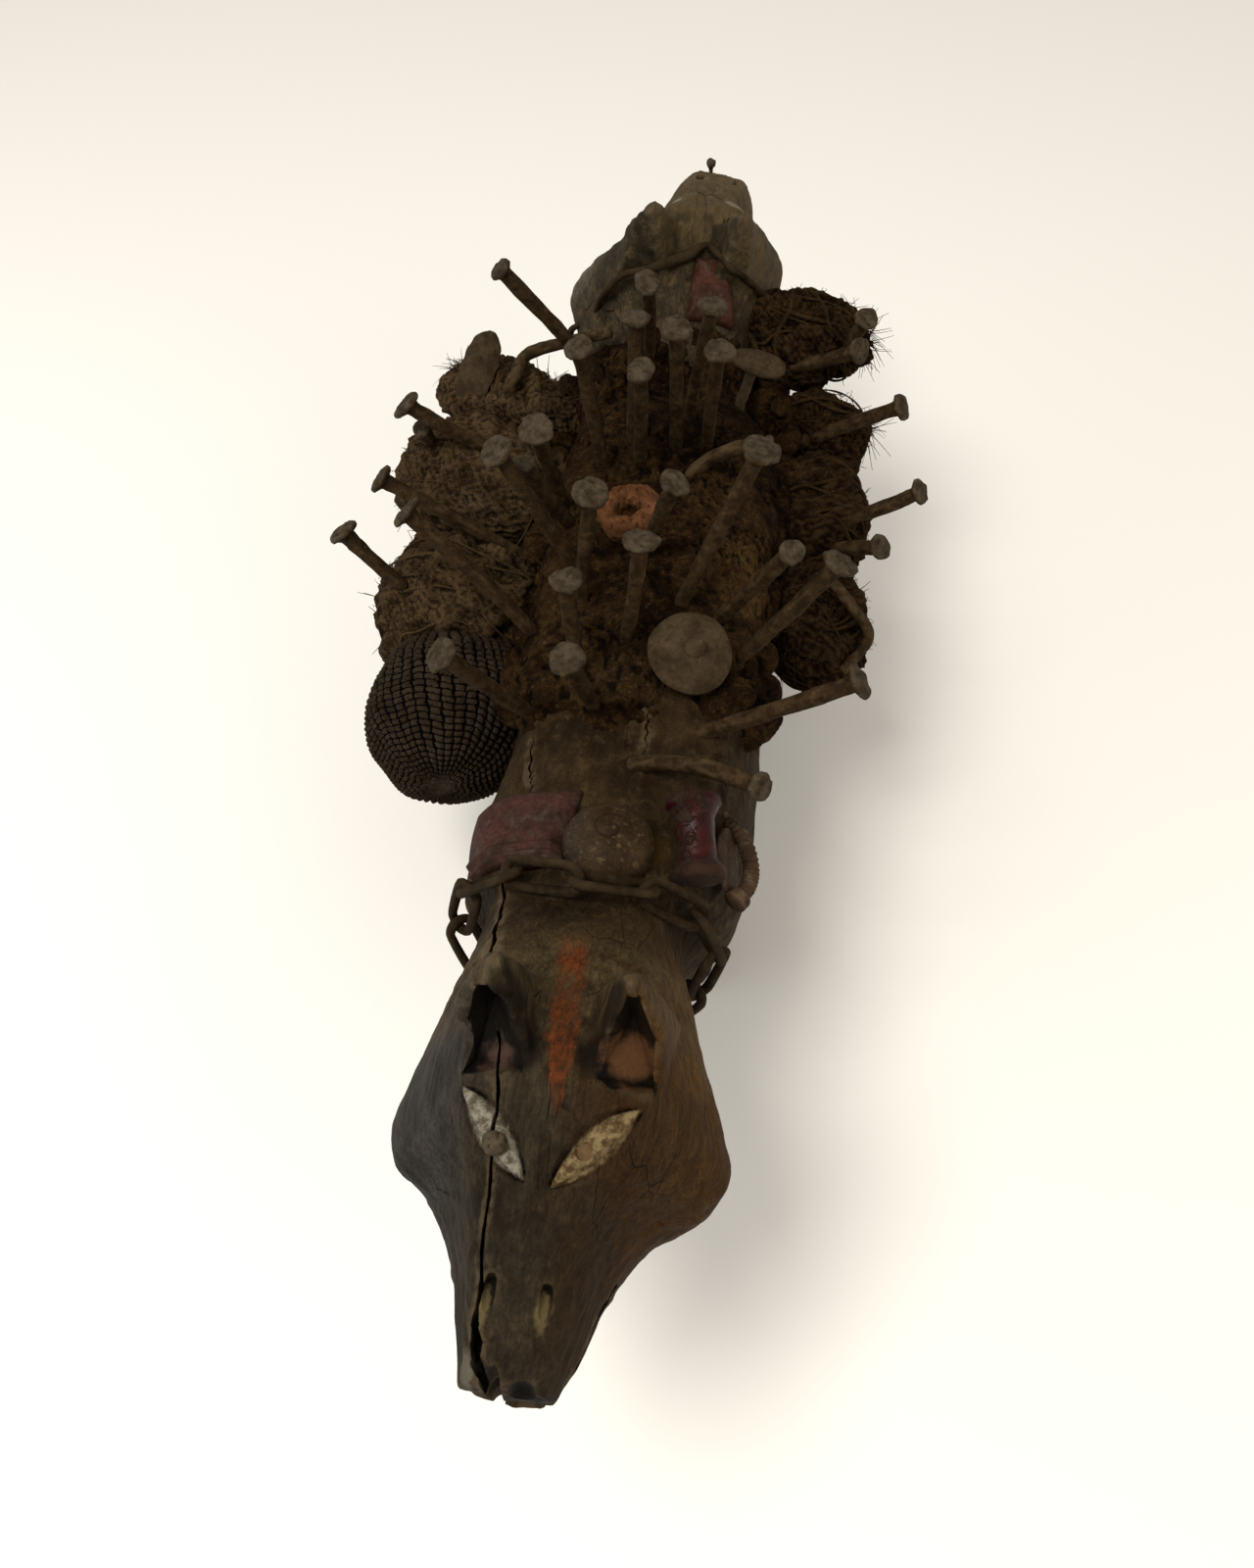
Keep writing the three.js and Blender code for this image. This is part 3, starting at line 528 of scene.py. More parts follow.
def near_head(x, forward, z):
    x = np.asarray(x, dtype=float)
    waist = np.where(x > 0, NEAR_WAIST, 0) * narrowed(forward, 38, 26)
    bowed = x * (1 - waist) - NEAR_BOW * np.abs(forward) + NEAR_HEAD[0]
    ahead = CHEEK_SKEW * x - forward + NEAR_HEAD[1]
    return np.stack(np.broadcast_arrays(bowed, ahead, z + CHEEK_HEIGHT), -1)


def far_head(x, forward, z):
    x = np.asarray(x, dtype=float)
    snout = np.clip((np.asarray(forward) - 30) / 50, 0, 1)
    width = 1 + 0.25 * snout - FAR_WAIST * narrowed(forward, 20, 26)
    across = x * width + 4 * snout - FAR_LEAN * (x / 65) ** 2
    spots = np.stack(np.broadcast_arrays(across, forward + FAR_SKEW * x * np.abs(x) / 65, z), -1)
    for axis, degrees in enumerate(FAR_TURNS):
        spots = turned_by(spots, degrees, axis)
    return spots + np.array([FAR_HEAD[0], FAR_HEAD[1], CHEEK_HEIGHT])


def outline(row, place):
    forward, top, shoulder_x, shoulder_z, side_x, side_z, jaw_x, jaw_z, bottom = row
    across = np.array([0, shoulder_x, side_x, jaw_x, 0, -jaw_x, -side_x, -shoulder_x], dtype=float)
    rise = np.array([top, shoulder_z, side_z, jaw_z, bottom, jaw_z, side_z, shoulder_z], dtype=float)
    return place(across, np.full(8, float(forward)), rise)


def barrel_outline(row):
    share, width, rise, shift = row
    middle = (BACK_HEIGHT + BELLY_HEIGHT) / 2
    deep = (BACK_HEIGHT - BELLY_HEIGHT) / 2
    reach = BARREL_HALF_WIDTH * width
    y = BARREL_FRONT + share * (BARREL_BACK - BARREL_FRONT)
    section = (y, deep + rise, 0.72 * reach, 0.82 * deep, reach, 0.05 * deep, 0.72 * reach, -0.74 * deep,
               -deep)
    return outline(section, lambda x, forward, z: np.stack([x + shift, forward, middle + z], -1))


SECTIONS = np.array(
    [outline(row, near_head) for row in HEAD_SECTIONS]
    + [barrel_outline(row) for row in BARREL_SECTIONS]
    + [outline(row, far_head) for row in HEAD_SECTIONS][::-1]
)
LAST = len(SECTIONS) - 1


def cubic(start, end, leave, arrive, share):
    second = -3 * start + 3 * end - 2 * leave - arrive
    third = 2 * start - 2 * end + leave + arrive
    return start + share * (leave + share * (second + share * third))


# A smooth open curve through points, at places counted in points
def curve(points, place):
    points = np.asarray(points, dtype=float)
    place = np.clip(np.asarray(place, dtype=float), 0, len(points) - 1)
    start = np.minimum(place.astype(int), len(points) - 2)
    share = (place - start).reshape(place.shape + (1,) * (points.ndim - 1))
    before = 2 * points[:1] - points[1:2]
    after = 2 * points[-1:] - points[-2:-1]
    line = np.concatenate([before, points, after])
    a, b, c, d = (line[start + k] for k in range(4))

    def span(p, q):
        return np.maximum(((q - p) ** 2).sum(-1, keepdims=True) ** 0.25, 1e-4)
    first, middle, last = span(a, b), span(b, c), span(c, d)
    leave = ((b - a) / first - (c - a) / (first + middle) + (c - b) / middle) * middle
    arrive = ((c - b) / middle - (d - b) / (middle + last) + (d - c) / last) * middle
    return cubic(b, c, leave, arrive, share)


# The skin at section counts and turns round the log, grown outward
def skin(along, turn, grow=0.0):
    along, turn = np.broadcast_arrays(np.asarray(along, dtype=float), np.asarray(turn, dtype=float))

    def at(a, t):
        rails = curve(SECTIONS, a)
        place = (t % 1) * 8
        start = place.astype(int)
        share = (place - start)[..., None]
        p, q, r, s = (np.take_along_axis(rails, ((start + k) % 8)[..., None, None], -2)[..., 0, :]
                      for k in (-1, 0, 1, 2))
        return cubic(q, r, SECTION_ROUNDNESS * (r - p), SECTION_ROUNDNESS * (s - q), share)
    spots = at(along, turn)
    if np.isscalar(grow) and grow == 0:
        return spots
    near = 0.04
    inside = np.clip(along, near, LAST - near)
    across = at(inside, turn + near) - at(inside, turn - near)
    ahead = at(inside + near, turn) - at(inside - near, turn)
    lift = np.broadcast_to(np.asarray(grow, dtype=float), along.shape)
    return spots + unit(np.cross(across, ahead)) * lift[..., None]


# Where the wood's upper side lies over x and y: section count and turn
def over(x, y):
    x, y = np.broadcast_arrays(np.asarray(x, dtype=float), np.asarray(y, dtype=float))
    along = np.full(x.shape, LAST / 2)
    turn = np.zeros(x.shape)
    for _ in range(4):
        for goal, index, limits in ((y, 1, (0, LAST)), (x, 0, (-0.25, 0.25))):
            low = np.full(x.shape, float(limits[0]))
            high = np.full(x.shape, float(limits[1]))
            for _ in range(20):
                half = (low + high) / 2
                reached = skin(half if index else along, turn if index else half)[..., index]
                low = np.where(reached < goal, half, low)
                high = np.where(reached < goal, high, half)
            if index:
                along = half
            else:
                turn = half
    return along, turn


def on_top(x, y, lift=0.0):
    along, turn = over(x, y)
    return skin(along, turn, lift)


def way_up(x, y):
    along, turn = over(x, y)
    return unit(skin(along, turn, 1.0) - skin(along, turn))


# Axes with up as the third, turned so that the second is nearest to forward
def axes(up, forward=(0, 1, 0)):
    up = unit(up)
    side = unit(np.cross(forward, up))
    return np.stack([side, np.cross(up, side), up])


# Details of the heads
EAR_SHELL = [
    (9, -9, 46), (36, -12, 36), (43, -46, 20), (10, -52, 28), (21, -36, 75), (27, -38, 74), (25, -31, 76),
    (30, -33, 71), (36, -24, 56), (17, -20, 62), (20, -48, 55), (34, -44, 50),
]
EAR_RIM = [(13, -9, 47), (32, -13, 38), (33, -22, 55), (27, -31, 69), (23, -31, 70), (17, -19, 60)]
EAR_PIT = [(16, -8, 46), (29, -12, 40), (25, -31, 55), (23, -27, 51)]
EAR_FACE = np.array([0.27, 0.81, 0.51])


def ear_spots(place, side, corners):
    shift = NEAR_EAR_SHIFT if place is near_head else FAR_EAR_SHIFT
    return [place(side * x + shift, forward, z) for x, forward, z in corners]


# The three-cornered pit in front of an ear, its floor meeting the brow
def ear_pit(place, side):
    outer = [tuple(np.array(corner) + 26 * EAR_FACE) for corner in EAR_RIM]
    return hull(ear_spots(place, side, EAR_RIM + EAR_PIT + outer))


def nostril(place, side):
    def spot(ways):
        square = np.sign(ways) * np.abs(ways) ** 0.6
        return place(side * 9.8 + 0.7 + 2.4 * square[:, 0], 64 + 7 * square[:, 1], 27 + 6 * square[:, 2])
    return ball(16, 12, spot)


def mouth(place):
    def spot(across, along, upper):
        height = np.where(along < 0.5, 0.4 * MOUTH_GAP, MOUTH_GAP + 0.8 * np.sin(across * 9))
        z = -8 + height * (upper - 0.5) + 1.2 * np.sin(across * 5)
        return place(80 * (across - 0.5), 44 + 62 * along, z)
    return slab(24, 8, spot)


# A split in the wood along points of x, y and width, from top down to depth under the skin
def split(points, top, depth):
    def spot(across, along, upper):
        x, y, width = curve(points, along * (len(points) - 1)).T
        ragged = 1 + 0.18 * np.sin(along * 71) + 0.12 * np.sin(along * 173 + 1)
        x = x + 0.5 * np.sin(along * 37)
        surface = on_top(x, np.maximum(y, NEAR_HEAD[1] - 92))[:, 2]
        z = np.where(upper > 0.5, surface + top, surface - depth)
        spread = np.where(upper > 0.5, 1.0, 0.35)
        return np.stack([x + (across - 0.5) * width * ragged * spread, y, z], -1)
    return slab(2, 70, spot)


FACE_SPLIT = [(-24, -245, 2), (-22, -256, 2.2), (-19.5, -275, 2.4), (-19, -297, 2.0), (-18.5, -321, 2.6),
              (-18.5, -336, 4), (-18, -345, 8), (-14, -355, 7), (-10, -368, 7)]
NAPE_SPLIT = [(-46, -140, 1), (-41, -165, 2.2), (-38, -190, 2.4), (-35, -212, 1.8), (-33, -224, 0.6)]
SHOULDER_SPLIT = [(-44, -70, 0.3), (-42, -90, 1.6), (-40, -98, 0.9), (-39, -110, 0.3)]
SPINE_SPLIT = [(8, -46, 0.4), (9, -60, 1.5), (10, -80, 0.4)]


def broken_lips():
    left = ball(14, 10, lambda w: near_head(-3.5 + 3.2 * w[:, 0], 90 + 8 * w[:, 1], 4 + 26 * w[:, 2]))
    right = ball(18, 12, lambda w: near_head(7 + 6.5 * w[:, 0], 92 + 7 * w[:, 1], 10 + 12 * w[:, 2]))
    far = slab(6, 6, lambda a, b, u: far_head(-7.5 + 15 * a, 88 + 12 * b, 4 + 16 * u + 0.6 * np.sin(7 * a)))
    return joined([left, right, far])


LEG_LEVELS = [
    (0, 9, 17, 25), (7, 9, 18, 28), (22, 7, 16, 22), (32, 2, 15, 19), (68, 0, 15, 19), (96, 0, 21, 26),
]


def leg(side, y, front):
    def spot(along, turn):
        z, shift, half_x, half_y = curve(LEG_LEVELS, along * (len(LEG_LEVELS) - 1)).T
        angle = turn * TAU
        ways = np.stack([np.sin(angle), np.cos(angle)], -1)
        square = np.sign(ways) * np.abs(ways) ** 0.8
        z = np.maximum(z, 0)
        toes = 1 - 0.05 * (np.abs(np.sin(angle * 4)) < 0.3) * (z < 16) * (np.cos(angle) * front > 0.4)
        x = side * LEG_SPREAD + half_x * square[:, 0]
        return np.stack([x, y + front * shift + half_y * square[:, 1] * toes, z], -1)
    return tube(48, 60, spot)


EYES = {1: ((16.0, -282.5), 46.0), -1: ((-20.0, -281.0), 131.0)}
PUPIL = (12.5, -285.0)
EYE_HALF_LENGTH = 20.0
EYE_HALF_WIDTH = 4.8


# Along and across a near eye, in millimetres, its long axis turned by its own angle
def eye_spots(spots, side):
    (x, y), slant = EYES[side]
    angle = math.radians(slant)
    away = spots[:, :2] - np.array([x, y])
    along = away[:, 0] * math.cos(angle) + away[:, 1] * math.sin(angle)
    across = away[:, 1] * math.cos(angle) - away[:, 0] * math.sin(angle)
    return along, across


def almond(along, across):
    reach = np.clip(1 - (along / EYE_HALF_LENGTH) ** 2, 0, 1)
    return np.abs(across) / np.maximum(EYE_HALF_WIDTH * reach ** 0.8, 0.05)


def finer_face(mesh):
    def refine(build):
        fine = [edge for edge in build.edges
                if all(v.co.y < -240 and v.co.z > 205 and abs(v.co.x) < 48 for v in edge.verts)]
        bmesh.ops.subdivide_edges(build, edges=fine, cuts=1, use_grid_fill=True)
    return worked(mesh, refine)


# Long shallow tool marks and the furrows between their facets
def tool_marks(spots):
    push = 0.55 * lumps(spots, 34, 3, (1, 2.2, 1)) + 0.28 * lumps(spots, 11, 4, (0.8, 3, 0.8))
    push += 0.10 * lumps(spots, 4, 5, (0.6, 4, 0.6))
    facets = np.abs(lumps(spots, 46, 6, (0.7, 2.6, 1)))
    return push - 0.9 * smooth_step(facets, 0.0, 0.25) * 0.6


# A near eye's raised lens, the groove of its lid and the low rim outside it
def eye_relief(spots, side, upper):
    along, across = eye_spots(spots, side)
    reach = almond(along, across) + 9 * (np.abs(along) > EYE_HALF_LENGTH)
    lid = np.exp(-((reach - 1.05) / 0.28) ** 2) * upper * (np.abs(along) < 21)
    lens = smooth_step(-reach, -1.0, -0.35) * upper
    rim = np.exp(-((reach - 1.75) / 0.4) ** 2) * upper * (np.abs(along) < 21)
    return 1.5 * lens - 1.5 * lid + 0.5 * rim


def pupil_relief(spots):
    away = np.hypot(spots[:, 0] - PUPIL[0], spots[:, 1] - PUPIL[1])
    return 0.5 * np.exp(-((away - 3.6) / 0.9) ** 2) - 1.1 * (away < 3)


def carved(mesh):
    finer_face(mesh)
    spots = read(mesh)
    ways = normals(mesh)
    near = (spots[:, 1] < -240) & (spots[:, 2] > 215)
    upper = near * smooth_step(ways[:, 2], 0.2, 0.7)
    push = tool_marks(spots) + eye_relief(spots, 1, upper) + pupil_relief(spots) * near
    push += eye_relief(spots, -1, upper)
    write(mesh, spots + ways * push[:, None])
    return mesh


# How hollow or proud each point lies, from -1 in a hollow to 1 on an edge, evened out in rounds
def hollows(mesh, rounds):
    spots = read(mesh)
    ways = normals(mesh)
    edges = np.empty(len(mesh.edges) * 2, dtype=int)
    mesh.edges.foreach_get("vertices", edges)
    first, second = edges.reshape(-1, 2).T
    count = np.zeros(len(spots))
    np.add.at(count, first, 1)
    np.add.at(count, second, 1)
    count = np.maximum(count, 1)

    def around(numbers):
        total = np.zeros_like(numbers)
        np.add.at(total, first, numbers[second])
        np.add.at(total, second, numbers[first])
        return total / (count if numbers.ndim == 1 else count[:, None])
    length = around(np.linalg.norm(spots[first] - spots[second], axis=1).mean() * np.ones(len(spots)))
    bend = ((spots - around(spots)) * ways).sum(1) / np.maximum(length, 1e-6)
    for _ in range(rounds):
        bend = 0.4 * bend + 0.6 * around(bend)
    return np.clip(bend * 6, -1, 1)


# A piece that keeps how hollow or proud each of its points lies
def edged(name, mesh, material, nodes, sharp=None, rounds=1):
    keep(mesh, "edge", hollows(mesh, rounds))
    return piece(name, mesh, material, nodes, sharp)


# The left near ear's top is worn to a round roll
EAR_ROLL = [(-16, -32, 72), (-21, -30, 71), (-29, -26, 62), (-33, -22, 52)]


def figure_mesh():
    heads = (near_head, far_head)
    parts = [tube(*SKIN_CELLS, lambda along, turn: skin(along * LAST, turn))]
    parts += [hull(ear_spots(place, side, EAR_SHELL)) for place in heads for side in (-1, 1)]
    parts.append(rod([near_head(*p) for p in EAR_ROLL], lambda along, turn: 8 - 3.2 * along, 20, 20))
    parts += [leg(side, y, front) for side in (-1, 1) for y, front in ((NEAR_LEG_Y, -1), (FAR_LEG_Y, 1))]
    body = carved(eased(remeshed(joined(parts), WOOD_VOXEL), 3))
    pits = [ear_pit(place, side) for place in heads for side in (-1, 1)]
    mouths = [mouth(place) for place in heads]
    nostrils = [nostril(place, side) for place in heads for side in (-1, 1)]
    small_splits = [split(NAPE_SPLIT, 6, 9), split(SPINE_SPLIT, 4, 5), split(SHOULDER_SPLIT, 4, 5)]
    for cutter in (joined(pits), joined(mouths + nostrils), split(FACE_SPLIT, 26, 13), joined(small_splits),
                   broken_lips()):
        body = cut(body, outward(cutter))
    return thinned(body, WOOD_TRIANGLES)


def add_figure(material):
    mesh = figure_mesh()
    keep(mesh, "sideways", normals(mesh)[:, 0])
    edged("dog_carving", mesh, material, ["dog_figure"], 38, 3)


# Places between the bundles and the barrel that the earth fills: x, y, z and size
EARTH_FILLS = [
    (-68, 164, 162, 17), (-70, 88, 152, 17), (-64, 14, 146, 14), (-84, 120, 132, 15), (-66, 205, 168, 12),
    (52, 214, 163, 14), (47, 244, 152, 14), (50, 228, 152, 16), (50, 222, 176, 11), (58, 172, 150, 16),
    (60, 92, 146, 15), (50, 232, 172, 11), (24, -18, 206, 12),
]


# The crust itself, thin at its ragged rim and low in front by the boss
def crust():
    start = float(over(0.0, -62.0)[0])
    end = float(over(0.0, 206.0)[0])

    def spot(across, along, upper):
        turn = -0.235 + 0.47 * across
        wander = 0.35 * np.sin(9 * across + 1) + 0.2 * np.sin(23 * across)
        a = start + (end - start) * along + wander * (1 - along) * 0.6
        flat = skin(a, turn)
        edge = np.minimum(np.minimum(5 * across, 5 * (1 - across)), np.minimum(7 * along, 7 * (1 - along)))
        edge = edge + 0.22 * lumps(flat, 26, 21) + 0.1 * lumps(flat, 9, 22)
        body = smooth_step(edge, 0.05, 1.0)
        heap = PACK_THICKNESS * (0.74 + 0.2 * lumps(flat, 60, 23))
        front = np.exp(-(np.hypot(flat[..., 0] - 26, flat[..., 1] + 54) / 17) ** 2)
        lift = body * heap * (1 - 0.6 * front) - 1.2 * (edge < 0.05)
        return skin(a, turn, np.where(upper > 0.5, lift, -3.0))
    return slab(150, 220, spot)


def earth_mesh():
    parts = [crust()]
    chance = np.random.default_rng(29)

    def clod(x, y, z, size):
        parts.append(ball(20, 14, lambda w: np.array([x, y, z]) + w * size))
    for i in range(SIDE_CLODS):
        side = -1 if i % 2 else 1
        clod(side * chance.uniform(50, 66), -42 + 252 * chance.uniform(), chance.uniform(164, 182),
             chance.uniform(5, 12, 3) * (1, 1.4, 0.8))
    for _ in range(TOP_CLODS):
        x, y, z = on_top(chance.uniform(-40, 40), chance.uniform(-20, 200), PACK_THICKNESS * 0.8)
        clod(x, y, z, chance.uniform(2, 6, 3) * (1, 1.2, 0.6))
    for x, y, z, size in EARTH_FILLS:
        for _ in range(FILL_CLODS):
            dx, dy, dz = chance.normal(size=3) * size * 0.35
            clod(x + dx, y + dy, z + dz, size * chance.uniform(0.45, 0.8, 3))

    def crumbs(spots):
        fine = 0.9 * lumps(spots, 17, 24) + 0.7 * np.abs(lumps(spots, 8, 25)) + 0.45 * lumps(spots, 4, 26)
        strong = smooth_step(lumps(spots, 46, 27), -0.6, 0.9)
        strong = strong * (0.4 + 0.6 * smooth_step(spots[:, 1], -40.0, 30.0))
        return fine * (0.35 + 0.65 * strong) - 0.5
    return thinned(pushed(eased(remeshed(joined(parts), EARTH_VOXEL), 1), crumbs), EARTH_TRIANGLES)


def add_earth(material):
    edged("earth_crust", earth_mesh(), material, ["earth_pack"])


# Turned fittings: rows of radius and height about an axis
def turned(profile, around, spot, frame_axes, steps, wobble=None):
    rows = np.asarray(profile, dtype=float)

    def place(along, turn):
        radius, height = curve(rows, along * (len(rows) - 1)).T
        if wobble:
            radius = radius * (1 + wobble(along, turn))
        angle = turn * TAU
        local = np.stack([radius * np.sin(angle), radius * np.cos(angle), height], -1)
        return local @ frame_axes + spot
    return tube(around, steps, place)


def standing(x, y, lift):
    up = way_up(x, y)
    return on_top(x, y) + up * lift, axes(up)


def add_cup(material):
    spot, ways = standing(-11, CUP_Y, 2)
    profile = [(11, -14), (11.5, 0), (14, 5), (16, 11), (16, 15), (14.5, 17.5), (11, 18), (7.5, 16.5),
               (6, 12), (5, 6), (3, 4)]

    def wobble(along, turn):
        return 0.05 * np.sin(turn * TAU * 2 + 1) + 0.03 * np.sin(turn * TAU * 5 + along * 9)
    mesh = turned(profile, 72, spot, ways, 60, wobble)
    pushed(mesh, lambda spots: 0.5 * lumps(spots, 9, 31) + 0.25 * lumps(spots, 3.4, 32))
    edged("clay_ring", mesh, material, ["clay_cup"])


def add_boss(material):
    spot, ways = standing(23, BOSS_Y, PACK_THICKNESS + 1)
    ways = axes(ways[2] + BOSS_TILT)
    profile = [(17.5, -1.5), (19.5, -0.5), (20, 0.8), (18.5, 2.4), (14, 4.2), (8, 5.6), (3.2, 6.2)]
    disc = turned(profile, 72, spot, ways, 40, lambda along, turn: 0.012 * np.sin(turn * TAU * 3))
    pushed(disc, lambda spots: 0.3 * lumps(spots, 12, 33) + 0.1 * lumps(spots, 3, 34))
    edged("boss_plate", disc, material, ["boss_disc"], 50)
    pin_ways = axes(ways[2] + PIN_TILT)
    profile = [(2.4, -8), (3, 4), (4.6, 6), (4.3, 8), (3.2, 11), (1.8, 13.6), (0.5, 15)]
    pin = turned(profile, 32, spot, pin_ways, 24, lambda along, turn: 0.05 * np.sin(turn * TAU * 2))
    keep(pin, "edge", 0.7 * hollows(pin, 1) + 0.5)
    piece("boss_rivet", pin, material, ["boss_pin"])


def add_dome(material):
    spot, ways = standing(0, DOME_Y, 0.5)

    def place(w):
        flat = np.hypot(w[:, 0], w[:, 1])
        angle = np.arctan2(w[:, 1], w[:, 0])
        coil = (flat * DOME_COILS + angle / TAU) % 1
        groove = np.exp(-((coil - 0.5) / 0.12) ** 2) * (w[:, 2] > 0) * smooth_step(-flat, -0.6, -0.35)
        height = np.where(w[:, 2] > 0, DOME_HEIGHT * np.abs(w[:, 2]) ** 0.85, 6 * w[:, 2])
        local = np.stack([DOME_RADIUS * w[:, 0], DOME_RADIUS * w[:, 1], height - 0.6 * groove], -1)
        return local @ ways + spot
    mesh = ball(96, 72, lambda w: place(np.where(np.abs(w) < 1e-9, 0, w)))
    edged("snail_dome", mesh, material, ["shell_dome"])


# Soft patches on the wood: rows along the back, turns across it
def patch(from_y, to_y, from_turn, to_turn, grid, lift, taper=0.0):
    start = float(over(0.0, float(from_y))[0])
    end = float(over(0.0, float(to_y))[0])

    def spot(across, along, upper):
        a = start + (end - start) * along
        turn = from_turn + (to_turn - from_turn) * across * (1 - taper * along)
        return skin(a, turn, np.where(upper > 0.5, lift(across, along), -2.0))
    return slab(*grid, spot)


def add_pads(material, far_material):
    def near_lift(across, along):
        edge = np.minimum(np.minimum(across, 1 - across) * 9, (1 - along) * 7)
        body = 6.5 * np.sqrt(np.clip(edge, 0, 1))
        rim = 2.6 * np.exp(-((along - 0.1) / 0.07) ** 2) + 1.7 * np.exp(-((along - 0.3) / 0.05) ** 2)
        crease = 0.5 * np.sin(across * 14 + along * 6) * np.exp(-((along - 0.45) / 0.3) ** 2)
        return body + (rim + crease) * np.clip(edge, 0, 1) - 1.5 * (edge < 0.02)
    near = patch(DOME_Y - 14, DOME_Y + 29, -0.168, -0.03, (90, 70), near_lift)
    edged("red_neck_pad", near, material, ["neck_pad"])

    def far_lift(across, along):
        edge = np.minimum(np.minimum(across, 1 - across) * 6, np.minimum(along, 1 - along) * 6)
        return 6.5 * np.sqrt(np.clip(edge, 0, 1)) - 1.0 * (edge < 0.02)
    far = patch(COLLAR_Y - 32, COLLAR_Y + 1, -0.005, 0.11, (50, 40), far_lift, 0.5)
    edged("red_far_pad", far, far_material, ["far_pad"])


# A place beside the back at y: a share of the way out to its side and a rise over its top
def beside(share, y, rise):
    along = over(0.0, float(y))[0]
    side = skin(along, 0.25 if share > 0 else 0.75)
    return np.array([abs(share) * side[0], y, skin(along, 0.0)[2] + rise])


# A rod along points, its radius a number or a function of along and turn
def rod(points, radius, around, steps, rough=0.0, seed=1):
    points = np.asarray(points, dtype=float)

    def place(along, turn):
        at = along * (len(points) - 1)
        spot = curve(points, at)
        step = 0.02 * (len(points) - 1)
        ahead = unit(curve(points, np.clip(at + step, 0, len(points) - 1))
                     - curve(points, np.clip(at - step, 0, len(points) - 1)))
        across = unit(np.cross([0.1, 0.2, 1.0], ahead))
        other = np.cross(ahead, across)
        width = radius(along, turn) if callable(radius) else radius
        angle = turn * TAU
        local = spot + across * (width * np.sin(angle))[:, None] + other * (width * np.cos(angle))[:, None]
        if rough:
            local = local + unit(local - spot) * (rough * lumps(local, 6, seed))[:, None]
        return local
    return tube(around, steps, place)


def add_spool(material):
    start = on_top(34, DOME_Y + 26) + np.array([0, 0, 12.5])
    end = on_top(40, DOME_Y - 10) + np.array([0, 0, 15.5])
    length = float(np.linalg.norm(end - start))
    flange = [(8, 0), (11, 0.3), (12, 2), (12, 4.5), (10, 7.5), (8.8, 11)]
    profile = flange + [(8.5, length / 2)] + [(radius, length - height) for radius, height in flange[::-1]]

    def ridges(along, turn):
        return 0.012 * np.sin(along * 60) * (np.abs(along - 0.5) < 0.3)
    mesh = turned(profile, 64, start, axes(end - start, (0, 0, 1)), 90, ridges)
    edged("red_spool_turned", mesh, material, ["red_spool"])


def add_loop(material):
    route = [(0.74, 34, -20), (0.93, 22, -18), (1.05, 8, -21), (1.09, -2, -22), (1.14, -10, -22)]
    points = [beside(share, DOME_Y + behind, rise) for share, behind, rise in route]

    def radius(along, turn):
        ribs = 0.28 * np.sin(along * TAU * 24)
        knob = 1.9 * smooth_step(along, 0.82, 0.9)
        return 3.6 + ribs * (along < 0.8) + knob
    edged("ribbed_loop", rod(points, radius, 20, 180), material, ["leather_loop"])
    profile = [(13.5, -1.4), (15, -0.6), (15, 0.6), (13.5, 1.4), (6, 1.2)]
    flap = turned(profile, 56, beside(0.87, DOME_Y + 8, -16), axes((0.96, 0, 0.28)), 24,
                  lambda along, turn: 0.04 * np.sin(turn * TAU * 3 + 1))
    edged("round_flap", flap, material, ["side_flap"])


# Chain: links from hinge to hinge round the neck, a little into each other where they touch
def link(start, end, centre, roll):
    middle = (start + end) / 2
    ahead = unit(end - start)
    out = unit((middle - centre) * np.array([1, 0, 1]))
    ways = axes(out, ahead)
    bend_radius = LINK_WIDTH / 2 - WIRE_RADIUS
    straight = (np.linalg.norm(end - start) - 0.7) / 2 + WIRE_RADIUS - bend_radius

    def place(along, turn):
        angle = TAU * along
        wire = 1.12 * WIRE_RADIUS * (1 + 0.08 * np.sin(angle * 3 + roll))
        reach = bend_radius + wire * np.cos(TAU * turn)
        shift = np.clip(np.sin(angle) * 3, -1, 1) * straight
        local = [reach * np.cos(angle), shift + reach * np.sin(angle), wire * np.sin(TAU * turn)]
        return turned_by(np.stack(local, -1), roll, 1) @ ways + middle
    return ring(14, 44, place)


def add_chain(material):
    turn = np.arange(CHAIN_HINGES) / CHAIN_HINGES
    low = np.maximum(0, -np.cos(TAU * turn))
    along = over(0.0, CHAIN_Y + CHAIN_SLOPE * np.sin(TAU * turn) ** 2)[0]
    hinges = skin(along, turn, CHAIN_STAND_OFF + 2 * low)
    closed = np.concatenate([hinges[-3:], hinges, hinges[:4]])
    fine = curve(closed, np.linspace(3, 3 + CHAIN_HINGES, 100 * CHAIN_HINGES + 1))
    reach = np.concatenate([[0], np.cumsum(np.linalg.norm(np.diff(fine, axis=0), axis=1))])
    count = 2 * round(reach[-1] / LINK_PITCH / 2)
    wanted = np.linspace(0, reach[-1], count + 1)[:-1]
    spots = np.stack([np.interp(wanted, reach, fine[:, k]) for k in range(3)], -1)
    centre = spots.mean(0)
    links = [link(spots[i], spots[(i + 1) % count], centre, 50 if i % 2 else -40) for i in range(count)]
    edged("neck_chain_links", joined(links), material, ["neck_chain"])


# The far wire over the back, from its left side to its right
FAR_WIRE = [
    (-54, 227, 212), (-47, 220, 232), (-34, 219, 247), (-22, 221, 250), (-9, 234, 247), (2, 242, 247),
    (10, 248, 249), (17, 236, 252), (25, 229, 248), (33, 236, 237), (41, 241, 226),
]


